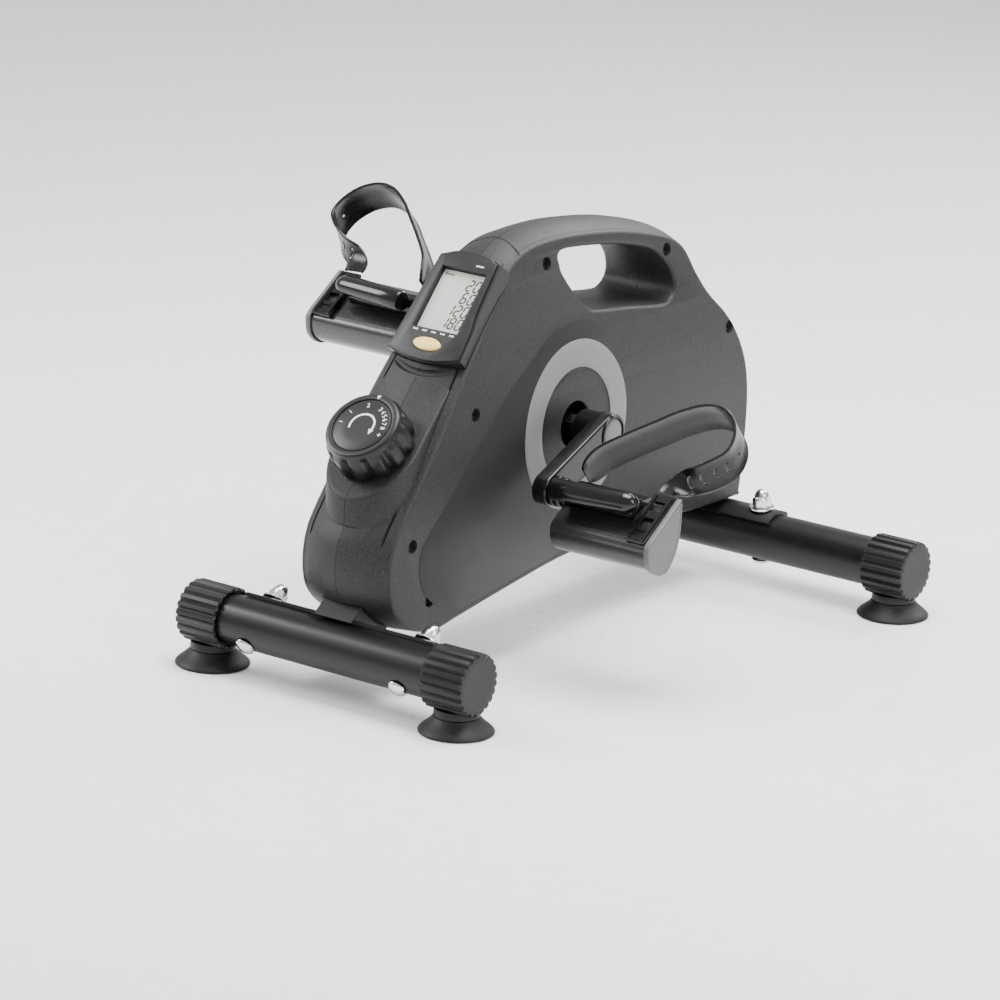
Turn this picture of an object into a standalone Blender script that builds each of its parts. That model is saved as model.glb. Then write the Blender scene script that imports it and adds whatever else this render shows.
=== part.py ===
"""Pedal exerciser: a low stationary pedal drive that stands on the floor in front of a chair.

Two round stabiliser tubes on suction feet carry a steel frame. The frame holds the crank axle,
a belt drive and a braked flywheel inside a two-part plastic housing with a carrying handle.
A small display and a brake knob face the rider.

Units are metres. X runs across the machine along the crank axle, +X is the rider's right.
The rider sits on the -Y side. +Z is up and Z = 0 is the floor.
"""

import math

import bmesh
import bpy
from mathutils import Matrix, Vector

# ---------------------------------------------------------------- driving dimensions
GAP = 0.0003                    # clearance between two pieces that touch
RUNNING_GAP = 0.0004            # clearance round a turning shaft

# stabilisers
WHEELBASE = 0.455               # front tube axis to rear tube axis
TUBE_RADIUS = 0.019
TUBE_WALL = 0.0018
FRONT_FOOT_X = 0.113            # middle of a front end cap and its foot
REAR_FOOT_X = 0.195
CAP_LENGTH = 0.037
CAP_WALL = 0.0045
CAP_RIBS = 22
RIB_HEIGHT = 0.0013
TUBE_STOP = 0.008               # from a cap's outer face to the end of the tube in it
NECK_RADIUS = 0.0172
NECK_LENGTH = 0.007             # from the top of a foot to the underside of its tube
CUP_RADIUS = 0.028
CUP_HEIGHT = 0.012
STEM_RADIUS = 0.006

# saddle plates and their bolts
SADDLE_THICKNESS = 0.0028
SADDLE_HALF_LENGTH = 0.086
SADDLE_HALF_ANGLE = math.radians(40)
FRONT_LEAN = math.radians(39)   # direction of the front saddle, above horizontal towards +Y
REAR_LEAN = math.radians(95)    # direction of the rear saddle
BOLT_X = 0.0705
BOLT_RADIUS = 0.004
BOLT_HEAD_RADIUS = 0.0078
BOLT_HEAD_HEIGHT = 0.0042
WASHER_RADIUS = 0.0098
WASHER_THICKNESS = 0.0016
NUT_ACROSS_FLATS = 0.013
NUT_HEIGHT = 0.0065
NUT_DOME_HEIGHT = 0.0075

# crank and drive
CRANK_BEHIND = 0.236            # crank axis behind the front tube
CRANK_HEIGHT = 0.166
CRANK_LENGTH = 0.078
RIGHT_CRANK_ANGLE = math.radians(202)   # from +Y towards +Z, seen from the right
LEFT_CRANK_ANGLE = math.radians(112)    # one flat of the square axle from the right crank
CRANK_OUTER_X = 0.0745
CRANK_THICKNESS = 0.013
CRANK_BOSS_RADIUS = 0.0145
CRANK_EYE_RADIUS = 0.012
CRANK_BOSS_INNER_X = 0.046
AXLE_RADIUS = 0.008
BEARING_RADIUS = 0.014
BEARING_WIDTH = 0.008
SHELL_RADIUS = 0.019
SHELL_HALF_LENGTH = 0.018
PULLEY_RADIUS = 0.060
SMALL_PULLEY_RADIUS = 0.0135
PULLEY_X = -0.026               # middle of the belt plane
PULLEY_WIDTH = 0.011
BELT_THICKNESS = 0.0022
BELT_WIDTH = 0.009
FLYWHEEL_BEHIND_CRANK = 0.149
FLYWHEEL_HEIGHT = 0.150
FLYWHEEL_RADIUS = 0.068
FLYWHEEL_WIDTH = 0.012
FLYWHEEL_X = 0.0255             # middle of the flywheel
FLYWHEEL_AXLE_RADIUS = 0.006

# frame
FRAME_HALF_WIDTH = 0.015
FRAME_WALL = 0.0022
LEG_HALF_WIDTH = 0.017
LEG_HEIGHT = 0.038
LEG_LENGTH = 0.118
BEAM_HEIGHT = 0.112             # middle of the long beam above the floor
BEAM_DEPTH = 0.026
REAR_LEG_DEPTH = 0.036

# housing
HOUSING_HALF_WIDTH = 0.0405
HOUSING_WALL = 0.0026
HOUSING_TOP = 0.310             # height of the top edge at the handle
HOUSING_BULGE_HEIGHT = 0.150    # the sides are upright below this and lean in above it
TOP_HALF_WIDTH = 0.0245
SIDE_FILLET = 0.0035
HANDLE_WALL = 0.003
CRANK_HOLE_RADIUS = 0.018

# console and brake knob
CONSOLE_LENGTH = 0.094
CONSOLE_BOTTOM_HALF_WIDTH = 0.0335
CONSOLE_TOP_HALF_WIDTH = 0.0285
CONSOLE_THICKNESS = 0.016
CONSOLE_PROUD = 0.0065          # how far the console's face stands above the housing
DISPLAY_WIDTH = 0.0395
DISPLAY_LENGTH = 0.051
DISPLAY_RECESS = 0.0045
DISPLAY_THICKNESS = 0.002
BUTTON_WIDTH = 0.0245
BUTTON_LENGTH = 0.0105
BUTTON_HEIGHT = 0.0016          # how far the button stands above the console
BUTTON_TRAVEL = 0.0012
KNOB_RADIUS = 0.032
KNOB_FACE_RADIUS = 0.028
KNOB_HEIGHT = 0.026
KNOB_LOBES = 12
KNOB_UP_SLOPE = 0.046           # knob axis above the platform's lower edge, along the slope
SPINDLE_RADIUS = 0.004

# pedals
PEDAL_START_X = 0.0752          # inner face of the pedal's hub
HUB_COLLAR_RADIUS = 0.0115
HUB_COLLAR_LENGTH = 0.011
HUB_RADIUS = 0.009
SPINDLE_LENGTH = 0.086
PEDAL_SPINDLE_RADIUS = 0.005
BLOCK_START_X = 0.088
BLOCK_END_X = 0.1735
END_PLATE_THICKNESS = 0.0045
BAR_RADIUS = 0.0082
STRAP_WIDTH = 0.029
STRAP_THICKNESS = 0.0024
STRAP_TAIL_WIDTH = 0.017
BUCKLE_WIDTH = 0.018
BUCKLE_THICKNESS = 0.003
BUCKLE_REACH = 0.042            # along the weight's slope
BUCKLE_OVERHANG = 0.004

# ---------------------------------------------------------------- values that follow
TUBE_HEIGHT = CUP_HEIGHT + NECK_LENGTH + TUBE_RADIUS    # tube axis above the floor
FRONT_Y = -WHEELBASE / 2
REAR_Y = WHEELBASE / 2
CRANK_Y = FRONT_Y + CRANK_BEHIND
FLYWHEEL_Y = CRANK_Y + FLYWHEEL_BEHIND_CRANK
CAP_RADIUS = TUBE_RADIUS + CAP_WALL
HUB_END_X = 0.150
SPINDLE_END_X = CRANK_OUTER_X - CRANK_THICKNESS + SPINDLE_LENGTH
BRACKET_FACE = FRAME_HALF_WIDTH + 0.0006
CRANK_CENTRE = Vector((0, CRANK_Y, CRANK_HEIGHT))
FLYWHEEL_CENTRE = Vector((0, FLYWHEEL_Y, FLYWHEEL_HEIGHT))

# ---------------------------------------------------------------- materials
COLOURS = {
    "housing_plastic": ((0.030, 0.029, 0.029), 0.62, 0.0),
    "tube_paint": ((0.018, 0.018, 0.018), 0.38, 0.0),
    "frame_paint": ((0.020, 0.020, 0.020), 0.45, 0.0),
    "cap_plastic": ((0.016, 0.016, 0.016), 0.55, 0.0),
    "foot_rubber": ((0.022, 0.022, 0.022), 0.60, 0.0),
    "zinc": ((0.78, 0.79, 0.80), 0.22, 1.0),
    "bright_steel": ((0.60, 0.61, 0.62), 0.25, 1.0),
    "cast_iron": ((0.10, 0.10, 0.10), 0.55, 1.0),
    "crank_paint": ((0.020, 0.020, 0.021), 0.25, 0.0),
    "pedal_gloss": ((0.016, 0.016, 0.017), 0.20, 0.0),
    "weight_grey": ((0.12, 0.12, 0.12), 0.30, 0.0),
    "strap_rubber": ((0.014, 0.014, 0.014), 0.32, 0.0),
    "belt_rubber": ((0.012, 0.012, 0.012), 0.70, 0.0),
    "pulley_plastic": ((0.05, 0.05, 0.05), 0.50, 0.0),
    "console_plastic": ((0.035, 0.034, 0.034), 0.35, 0.0),
    "display_glass": ((0.45, 0.48, 0.43), 0.30, 0.0),
    "button_yellow": ((0.90, 0.72, 0.20), 0.35, 0.0),
    "knob_plastic": ((0.015, 0.015, 0.015), 0.25, 0.0),
    "dust_cap_grey": ((0.16, 0.16, 0.16), 0.40, 0.0),
    "board_green": ((0.02, 0.16, 0.06), 0.50, 0.0),
    "cable_black": ((0.02, 0.02, 0.02), 0.50, 0.0),
}


def clear_scene():
    for item in list(bpy.data.objects):
        bpy.data.objects.remove(item, do_unlink=True)


def material(name):
    found = bpy.data.materials.get(name)
    if found:
        return found
    colour, roughness, metallic = COLOURS[name]
    made = bpy.data.materials.new(name)
    made.use_nodes = True
    shader = made.node_tree.nodes["Principled BSDF"]
    shader.inputs["Base Color"].default_value = (*colour, 1)
    shader.inputs["Roughness"].default_value = roughness
    shader.inputs["Metallic"].default_value = metallic
    return made


# ---------------------------------------------------------------- building blocks
def add_object(name, mesh_maker, finish, parent=None, side=1):
    """Make one object from a bmesh. side = -1 mirrors it across X = 0 of its parent."""
    if side < 0:
        bmesh.ops.scale(mesh_maker, vec=(-1, 1, 1), verts=mesh_maker.verts)
        bmesh.ops.reverse_faces(mesh_maker, faces=mesh_maker.faces)
    mesh = bpy.data.meshes.new(name)
    mesh_maker.to_mesh(mesh)
    mesh_maker.free()
    mesh.shade_smooth()
    mesh.set_sharp_from_angle(angle=math.radians(32))
    mesh.materials.append(material(finish))
    item = bpy.data.objects.new(name, mesh)
    bpy.context.collection.objects.link(item)
    if parent:
        item.parent = parent
    return item


def add_axis(name, place):
    """An empty that marks a joint's axis. Pieces that move with the joint are its children."""
    empty = bpy.data.objects.new(name, None)
    empty.location = place
    bpy.context.collection.objects.link(empty)
    return empty


def hide_tool(item):
    item.hide_render = True
    item.display_type = "WIRE"


def boolean(target, tool, operation):
    step = target.modifiers.new(operation.lower(), "BOOLEAN")
    step.operation = operation
    step.object = tool
    step.solver = "EXACT"
    hide_tool(tool)


def cut(target, tool):
    boolean(target, tool, "DIFFERENCE")


def join(target, tool):
    boolean(target, tool, "UNION")


def tool_name(base):
    """Guides and cutters are named apart from the real pieces."""
    return "tool_" + base


def turned(profile, direction="X", segments=40):
    """Solid of revolution about the origin. profile holds (radius, distance along the axis).

    A profile that starts and ends on the axis makes a full solid. Any other profile is closed
    on itself and makes a ring.
    """
    work = bmesh.new()
    rings = []
    for radius, along in profile:
        if radius < 1e-6:
            rings.append([work.verts.new((along, 0, 0))])
            continue
        ring = []
        for step in range(segments):
            angle = 2 * math.pi * step / segments
            ring.append(work.verts.new((along, radius * math.cos(angle), radius * math.sin(angle))))
        rings.append(ring)
    pairs = list(zip(rings, rings[1:]))
    if profile[0][0] > 1e-6:
        pairs.append((rings[-1], rings[0]))
    for first, second in pairs:
        bridge(work, first, second)
    bmesh.ops.recalc_face_normals(work, faces=work.faces)
    turn = {"X": Matrix.Identity(3), "Y": Matrix.Rotation(math.pi / 2, 3, "Z"),
            "Z": Matrix.Rotation(-math.pi / 2, 3, "Y")}[direction]
    bmesh.ops.rotate(work, cent=(0, 0, 0), matrix=turn, verts=work.verts)
    return work


def bridge(work, first, second):
    """Join two rings of points with faces. A ring of one point is a tip."""
    count = max(len(first), len(second))
    for step in range(count):
        after = (step + 1) % count
        corners = [first[step % len(first)], first[after % len(first)],
                   second[after % len(second)], second[step % len(second)]]
        unique = list(dict.fromkeys(corners))
        if len(unique) > 2:
            work.faces.new(unique)


def loft(rings, closed=False):
    """Solid through rings of equal length. closed joins the last ring to the first."""
    work = bmesh.new()
    made = [[work.verts.new(point) for point in ring] for ring in rings]
    for first, second in zip(made, made[1:]):
        bridge(work, first, second)
    if closed:
        bridge(work, made[-1], made[0])
    else:
        work.faces.new(made[0])
        work.faces.new(made[-1])
    bmesh.ops.recalc_face_normals(work, faces=work.faces)
    return work


def prism(outline, start, end, place):
    """Extrude an outline of pairs. place(a, b, depth) gives the point in space."""
    low = [place(a, b, start) for a, b in outline]
    high = [place(a, b, end) for a, b in outline]
    return loft([low, high])


def side_place(y, z, x):
    """Outlines seen from the side lie in the Y-Z plane and are extruded along X."""
    return (x, y, z)


def box(low, high):
    outline = [(low[1], low[2]), (high[1], low[2]), (high[1], high[2]), (low[1], high[2])]
    return prism(outline, low[0], high[0], side_place)


def arc(centre, radius, start, end, steps):
    """Points on an arc in a plane, from the start angle to the end angle, both included."""
    points = []
    for step in range(steps + 1):
        angle = start + (end - start) * step / steps
        points.append((centre[0] + radius * math.cos(angle), centre[1] + radius * math.sin(angle)))
    return points


def smooth_path(points, per_span, closed=False):
    """Catmull-Rom curve through the points, as vectors."""
    count = len(points)
    vectors = [Vector(point) for point in points]
    spans = count if closed else count - 1
    path = []
    for span in range(spans):
        if closed:
            a, b, c, d = (vectors[(span + offset) % count] for offset in (-1, 0, 1, 2))
        else:
            a = vectors[max(span - 1, 0)]
            b = vectors[span]
            c = vectors[span + 1]
            d = vectors[min(span + 2, count - 1)]
        for step in range(per_span):
            t = step / per_span
            path.append(0.5 * (2 * b + (c - a) * t + (2 * a - 5 * b + 4 * c - d) * t ** 2
                               + (3 * b - a - 3 * c + d) * t ** 3))
    if not closed:
        path.append(vectors[-1])
    return path


# ---------------------------------------------------------------- stabilisers
def stabiliser(label, tube_y, foot_x):
    tube_end = foot_x + CAP_LENGTH / 2 - TUBE_STOP
    inner = TUBE_RADIUS - TUBE_WALL
    profile = [(TUBE_RADIUS, -tube_end), (TUBE_RADIUS, tube_end), (inner, tube_end),
               (inner, -tube_end)]
    tube = add_object(label + "_tube", turned(profile, segments=32), "tube_paint")
    tube.location = (0, tube_y, TUBE_HEIGHT)
    for side, side_name in ((1, "right"), (-1, "left")):
        base = label + "_" + side_name
        end_cap(base + "_end_cap", side, tube_y, foot_x)
        suction_foot(base + "_suction_foot", side * foot_x, tube_y)
    return tube


def rib_ring(x, radius, depth):
    """A ribbed circle: each rib is a rounded ridge with a narrow valley beside it."""
    points = []
    for rib in range(CAP_RIBS):
        for part, drop in ((0.0, 1.0), (0.3, 0.0), (0.7, 0.0)):
            angle = 2 * math.pi * (rib + part) / CAP_RIBS
            reach = radius - drop * depth
            points.append((x, reach * math.cos(angle), reach * math.sin(angle)))
    return points


def end_cap(name, side, tube_y, foot_x):
    """Ribbed sleeve, shut at its outer end, with a neck below it for the suction foot."""
    outer = foot_x + CAP_LENGTH / 2
    inner = foot_x - CAP_LENGTH / 2
    edge = 0.0012
    rings = [rib_ring(inner, CAP_RADIUS, RIB_HEIGHT),
             rib_ring(outer - edge, CAP_RADIUS, RIB_HEIGHT),
             rib_ring(outer, CAP_RADIUS - edge, RIB_HEIGHT * 0.6)]
    cap = add_object(name, loft(rings), "cap_plastic", side=side)
    cap.location = (0, tube_y, TUBE_HEIGHT)

    neck_top = -TUBE_RADIUS - GAP - 0.001
    neck_low = CUP_HEIGHT + GAP - TUBE_HEIGHT
    neck = add_object(tool_name(name + "_neck"),
                      turned([(0, neck_low), (NECK_RADIUS, neck_low), (NECK_RADIUS, neck_top),
                              (0, neck_top)], "Z", 24), "cap_plastic")
    neck.location = (side * foot_x, tube_y, TUBE_HEIGHT)
    join(cap, neck)

    bore_radius = TUBE_RADIUS + GAP
    bore_end = outer - TUBE_STOP + GAP
    mouth = bore_radius + CAP_WALL * 0.45
    bore = turned([(0, inner - 0.001), (mouth, inner - 0.001), (mouth, inner + 0.003),
                   (bore_radius, inner + 0.003), (bore_radius, bore_end), (0, bore_end)],
                  segments=28)
    bore_tool = add_object(tool_name(name + "_bore"), bore, "cap_plastic", side=side)
    bore_tool.location = (0, tube_y, TUBE_HEIGHT)
    cut(cap, bore_tool)

    socket = turned([(0, -0.001), (STEM_RADIUS + GAP, -0.001), (STEM_RADIUS + GAP, 0.0062),
                     (0, 0.0062)], "Z", 16)
    socket_tool = add_object(tool_name(name + "_socket"), socket, "cap_plastic")
    socket_tool.location = (side * foot_x, tube_y, CUP_HEIGHT + GAP)
    cut(cap, socket_tool)


def suction_foot(name, x, y):
    """Soft cup with a hollow underside and a plug that pushes up into the cap's neck."""
    lip = 0.0035
    top = CUP_HEIGHT
    plug = top + 0.0055
    profile = [(0, plug), (STEM_RADIUS, plug), (STEM_RADIUS, top), (NECK_RADIUS, top),
               (0.0225, top * 0.52), (CUP_RADIUS, top * 0.18), (CUP_RADIUS, 0),
               (CUP_RADIUS - lip, 0), (0.016, 0.0035), (0, 0.0055)]
    foot = add_object(name, turned(profile, "Z", 24), "foot_rubber")
    foot.location = (x, y, 0)


# ---------------------------------------------------------------- saddles and fasteners
def lean_vector(lean):
    """Unit vector in the Y-Z plane at this angle above +Y."""
    return Vector((0, math.cos(lean), math.sin(lean)))


def saddle(name, tube_y, lean):
    """Curved plate welded to the frame, which a tube is bolted into."""
    inside = TUBE_RADIUS + GAP
    outside = inside + SADDLE_THICKNESS
    outline = arc((0, 0), outside, lean - SADDLE_HALF_ANGLE, lean + SADDLE_HALF_ANGLE, 14)
    outline += arc((0, 0), inside, lean + SADDLE_HALF_ANGLE, lean - SADDLE_HALF_ANGLE, 14)
    plate = add_object(name, prism(outline, -SADDLE_HALF_LENGTH, SADDLE_HALF_LENGTH, side_place),
                       "frame_paint")
    plate.location = (0, tube_y, TUBE_HEIGHT)
    return plate


def bolt_set(label, tube_y, lean, saddle_plate, tube):
    """Coach bolt through tube and saddle with a washer and a domed nut, on each side."""
    spin = Matrix.Rotation(lean, 4, "X") @ Matrix.Rotation(math.pi / 2, 4, "Z")
    head_base = -(TUBE_RADIUS + GAP)
    washer_base = TUBE_RADIUS + GAP + SADDLE_THICKNESS + GAP
    nut_base = washer_base + WASHER_THICKNESS + GAP
    nut_top = nut_base + NUT_HEIGHT + NUT_DOME_HEIGHT
    thread_end = nut_base + NUT_HEIGHT
    for side, side_name in ((1, "right"), (-1, "left")):
        place = Matrix.Translation((side * BOLT_X, tube_y, TUBE_HEIGHT)) @ spin
        hole = turned([(0, -0.05), (BOLT_RADIUS + GAP, -0.05), (BOLT_RADIUS + GAP, 0.05),
                       (0, 0.05)], segments=16)
        drill = add_object(tool_name(label + "_" + side_name + "_bolt_hole"), hole, "zinc")
        drill.matrix_world = place
        cut(tube, drill)
        cut(saddle_plate, drill)

        bolt = turned(coach_bolt_profile(head_base, thread_end), segments=16)
        add_object(f"{label}_{side_name}_bolt", bolt, "zinc").matrix_world = place

        washer = turned([(BOLT_RADIUS + GAP, washer_base), (WASHER_RADIUS, washer_base),
                         (WASHER_RADIUS, washer_base + WASHER_THICKNESS),
                         (BOLT_RADIUS + GAP, washer_base + WASHER_THICKNESS)], segments=18)
        add_object(f"{label}_{side_name}_washer", washer, "zinc").matrix_world = place
        nut = domed_nut(nut_base, nut_top)
        add_object(f"{label}_{side_name}_nut", nut, "zinc").matrix_world = place


def coach_bolt_profile(head_base, thread_end):
    """Shallow domed head under the tube and a plain shank up through the saddle."""
    profile = [(0, head_base - BOLT_HEAD_HEIGHT)]
    for step in range(1, 4):
        angle = math.pi / 2 * step / 3
        profile.append((BOLT_HEAD_RADIUS * math.sin(angle),
                        head_base - BOLT_HEAD_HEIGHT * math.cos(angle)))
    return profile + [(BOLT_RADIUS, head_base), (BOLT_RADIUS, thread_end), (0, thread_end)]


def domed_nut(base, top):
    """Hexagon below, dome above, with a blind hole for the bolt."""
    corner = NUT_ACROSS_FLATS / 2 / math.cos(math.pi / 6)
    hexagon = base + NUT_HEIGHT
    dome_radius = NUT_ACROSS_FLATS / 2 * 0.92
    rings = []
    bore = BOLT_RADIUS + GAP
    bore_top = hexagon + GAP
    count = 12

    def circle(radius, along):
        return [(along, radius * math.cos(2 * math.pi * step / count),
                 radius * math.sin(2 * math.pi * step / count)) for step in range(count)]

    def hexagon_ring(along):
        flats = []
        for step in range(count):
            angle = 2 * math.pi * step / count
            from_flat = (angle + math.pi / 6) % (math.pi / 3) - math.pi / 6
            reach = corner * math.cos(math.pi / 6) / math.cos(from_flat)
            flats.append((along, reach * math.cos(angle), reach * math.sin(angle)))
        return flats

    rings.append(circle(0.0004, bore_top))
    rings.append(circle(bore, bore_top))
    rings.append(circle(bore, base))
    rings.append(hexagon_ring(base))
    rings.append(hexagon_ring(hexagon))
    for step in range(0, 4):
        angle = math.pi / 2 * step / 4
        rings.append(circle(dome_radius * math.cos(angle),
                            hexagon + (top - hexagon) * math.sin(angle)))
    rings.append(circle(0.0004, top))
    return loft(rings)


# ---------------------------------------------------------------- frame
def slanted_box(name, start, direction, half_width, depth, length, offset=0.0):
    """Box along a direction in the Y-Z plane, centred on the line from start."""
    across = Vector((0, -direction.z, direction.y))
    corners = []
    for along, up in ((offset, -depth / 2), (length, -depth / 2), (length, depth / 2),
                      (offset, depth / 2)):
        point = start + direction * along + across * up
        corners.append((point.y, point.z))
    return add_object(name, prism(corners, -half_width, half_width, side_place), "frame_paint")


def build_frame():
    """Front leg, long beam, rear leg and the two bearing tubes, welded into one piece."""
    lean = lean_vector(FRONT_LEAN)
    front = Vector((0, FRONT_Y, TUBE_HEIGHT))
    frame = slanted_box("main_frame", front, lean, LEG_HALF_WIDTH, LEG_HEIGHT, LEG_LENGTH)
    leg_hollow = slanted_box(tool_name("leg_hollow"), front, lean,
                             LEG_HALF_WIDTH - FRAME_WALL, LEG_HEIGHT - 2 * FRAME_WALL,
                             LEG_LENGTH * 0.66, offset=-0.004)
    cut(frame, leg_hollow)
    cut(frame, cope("front", FRONT_Y))

    beam_low = BEAM_HEIGHT - BEAM_DEPTH / 2
    beam_high = BEAM_HEIGHT + BEAM_DEPTH / 2
    beam_start = front.y + lean.y * LEG_LENGTH * 0.72
    rear_leg_front = REAR_Y - REAR_LEG_DEPTH / 2
    rear_leg_back = REAR_Y + REAR_LEG_DEPTH / 2
    beam = add_object(tool_name("beam"),
                      box((-FRAME_HALF_WIDTH, beam_start, beam_low),
                          (FRAME_HALF_WIDTH, rear_leg_back - 0.002, beam_high)), "frame_paint")
    join(frame, beam)
    pivot = brake_pivot()
    bracket = add_object(tool_name("pin_bracket"),
                         box((0.009, pivot.y - 0.009, BEAM_HEIGHT),
                             (BRACKET_FACE, pivot.y + 0.009, pivot.z + 0.009)), "frame_paint")
    join(frame, bracket)
    rear_leg = add_object(tool_name("rear_leg"),
                          box((-LEG_HALF_WIDTH, rear_leg_front, TUBE_HEIGHT + 0.004),
                              (LEG_HALF_WIDTH, rear_leg_back, beam_high + 0.004)), "frame_paint")
    rear_hollow = add_object(tool_name("rear_hollow"),
                             box((-LEG_HALF_WIDTH + FRAME_WALL, rear_leg_front + FRAME_WALL,
                                  TUBE_HEIGHT - 0.002),
                                 (LEG_HALF_WIDTH - FRAME_WALL, rear_leg_back - FRAME_WALL,
                                  beam_low - FRAME_WALL)), "frame_paint")
    cut(rear_leg, rear_hollow)
    cut(rear_leg, cope("rear", REAR_Y))
    join(frame, rear_leg)
    crank_post = add_object(tool_name("crank_post"),
                            box((-FRAME_HALF_WIDTH + 0.002, CRANK_Y - 0.014, BEAM_HEIGHT),
                                (FRAME_HALF_WIDTH - 0.002, CRANK_Y + 0.014, CRANK_HEIGHT)),
                            "frame_paint")
    join(frame, crank_post)
    flywheel_post = add_object(tool_name("flywheel_post"),
                               box((-0.010, FLYWHEEL_Y - 0.010, BEAM_HEIGHT),
                                   (0.010, FLYWHEEL_Y + 0.010, FLYWHEEL_HEIGHT)), "frame_paint")
    join(frame, flywheel_post)
    shell = add_object(tool_name("crank_shell"),
                       turned([(0, -SHELL_HALF_LENGTH), (SHELL_RADIUS, -SHELL_HALF_LENGTH),
                               (SHELL_RADIUS, SHELL_HALF_LENGTH), (0, SHELL_HALF_LENGTH)],
                              segments=32), "frame_paint")
    shell.location = CRANK_CENTRE
    join(frame, shell)
    tube = add_object(tool_name("flywheel_tube"),
                      turned([(0, -0.0155), (0.012, -0.0155), (0.012, 0.0155), (0, 0.0155)],
                             segments=28), "frame_paint")
    tube.location = FLYWHEEL_CENTRE
    join(frame, tube)

    axle_bore = add_object(tool_name("flywheel_bore"), through_bore(FLYWHEEL_AXLE_RADIUS
                                                                    + RUNNING_GAP), "frame_paint")
    axle_bore.location = FLYWHEEL_CENTRE
    cut(frame, axle_bore)
    bearing_bore = add_object(tool_name("bearing_bore"), through_bore(BEARING_RADIUS + GAP),
                              "frame_paint")
    bearing_bore.location = CRANK_CENTRE
    cut(frame, bearing_bore)
    return frame


def cope(label, tube_y):
    """Cutter that shapes the foot of a leg to lie on its saddle."""
    reach = TUBE_RADIUS + GAP + SADDLE_THICKNESS + GAP
    tool = add_object(tool_name(label + "_cope"),
                      turned([(0, -0.05), (reach, -0.05), (reach, 0.05), (0, 0.05)],
                             segments=44), "frame_paint")
    tool.location = (0, tube_y, TUBE_HEIGHT)
    return tool


def through_bore(radius):
    """Cutter for a round hole across the frame."""
    return turned([(0, -0.03), (radius, -0.03), (radius, 0.03), (0, 0.03)], segments=28)


# ---------------------------------------------------------------- housing
# Outline of the housing seen from the side, as distance behind the front tube and height.
# The first pair of each row lies on the side face's edge, the second on the seam in the middle,
# where the shell is crowned.
OUTLINE = [
    ((0.070, 0.0425), (0.064, 0.0425)),
    ((0.046, 0.0470), (0.038, 0.0470)),
    ((0.026, 0.0590), (0.017, 0.0600)),
    ((0.013, 0.0740), (0.003, 0.0760)),
    ((0.009, 0.0920), (-0.0015, 0.0920)),
    ((0.0105, 0.1080), (-0.0012, 0.1060)),
    ((0.015, 0.1210), (0.002, 0.1190)),
    ((0.0235, 0.1335), (0.012, 0.1330)),
    ((0.0366, 0.1500), (0.026, 0.1500)),
    ((0.0680, 0.1900), (0.0585, 0.1900)),
    ((0.0990, 0.2290), (0.0915, 0.2295)),
    ((0.1250, 0.2590), (0.1185, 0.2600)),
    ((0.1500, 0.2860), (0.1445, 0.2880)),
    ((0.1680, 0.3010), (0.1640, 0.3050)),
    ((0.1930, 0.3090), (0.1910, 0.3145)),
    ((0.2310, 0.3100), (0.2310, 0.3170)),
    ((0.2700, 0.3070), (0.2710, 0.3140)),
    ((0.3100, 0.3015), (0.3120, 0.3080)),
    ((0.3480, 0.2930), (0.3520, 0.2985)),
    ((0.3720, 0.2850), (0.3780, 0.2890)),
    ((0.3870, 0.2740), (0.3940, 0.2770)),
    ((0.4000, 0.2540), (0.4070, 0.2570)),
    ((0.4160, 0.2350), (0.4230, 0.2385)),
    ((0.4380, 0.2160), (0.4450, 0.2190)),
    ((0.4540, 0.1970), (0.4615, 0.1990)),
    ((0.4665, 0.1720), (0.4745, 0.1730)),
    ((0.4715, 0.1450), (0.4795, 0.1450)),
    ((0.4715, 0.1150), (0.4795, 0.1150)),
    ((0.4690, 0.0850), (0.4765, 0.0850)),
    ((0.4660, 0.0640), (0.4720, 0.0640)),
    ((0.4600, 0.0618), (0.4640, 0.0618)),
    ((0.4100, 0.0625), (0.4100, 0.0625)),
    ((0.3300, 0.0660), (0.3300, 0.0660)),
    ((0.2370, 0.0645), (0.2370, 0.0645)),
    ((0.1600, 0.0555), (0.1600, 0.0555)),
    ((0.0950, 0.0460), (0.0950, 0.0460)),
]
# The same outline's own reference sizes: stretches follow the driving dimensions from these.
OUTLINE_WHEELBASE = 0.455
OUTLINE_CRANK_BEHIND = 0.236
OUTLINE_CRANK_HEIGHT = 0.166
OUTLINE_TOP = 0.310

# Opening of the carrying handle, seen from the side.
HANDLE_OUTLINE = [
    (0.2300, 0.2990), (0.2850, 0.2940), (0.3260, 0.2860), (0.3480, 0.2780), (0.3640, 0.2640),
    (0.3700, 0.2490), (0.3640, 0.2400), (0.3500, 0.2380), (0.3050, 0.2440), (0.2700, 0.2480),
    (0.2560, 0.2520), (0.2420, 0.2640), (0.2310, 0.2770), (0.2250, 0.2880),
]

# Heights at which the side face changes its lean.
SIDE_LEVELS = [0.150, 0.185, 0.215, 0.240, 0.262, 0.282, 0.300]


def outline_point(behind, height):
    """Move an outline point with the wheelbase, the crank and the housing's top."""
    if behind > OUTLINE_CRANK_BEHIND:
        grow = (WHEELBASE - CRANK_BEHIND) / (OUTLINE_WHEELBASE - OUTLINE_CRANK_BEHIND)
    else:
        grow = CRANK_BEHIND / OUTLINE_CRANK_BEHIND
    y = CRANK_Y + (behind - OUTLINE_CRANK_BEHIND) * grow
    if height > OUTLINE_CRANK_HEIGHT:
        rise = (HOUSING_TOP - CRANK_HEIGHT) / (OUTLINE_TOP - OUTLINE_CRANK_HEIGHT)
    else:
        rise = 1.0
    z = CRANK_HEIGHT + (height - OUTLINE_CRANK_HEIGHT) * rise
    return y, z


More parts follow.
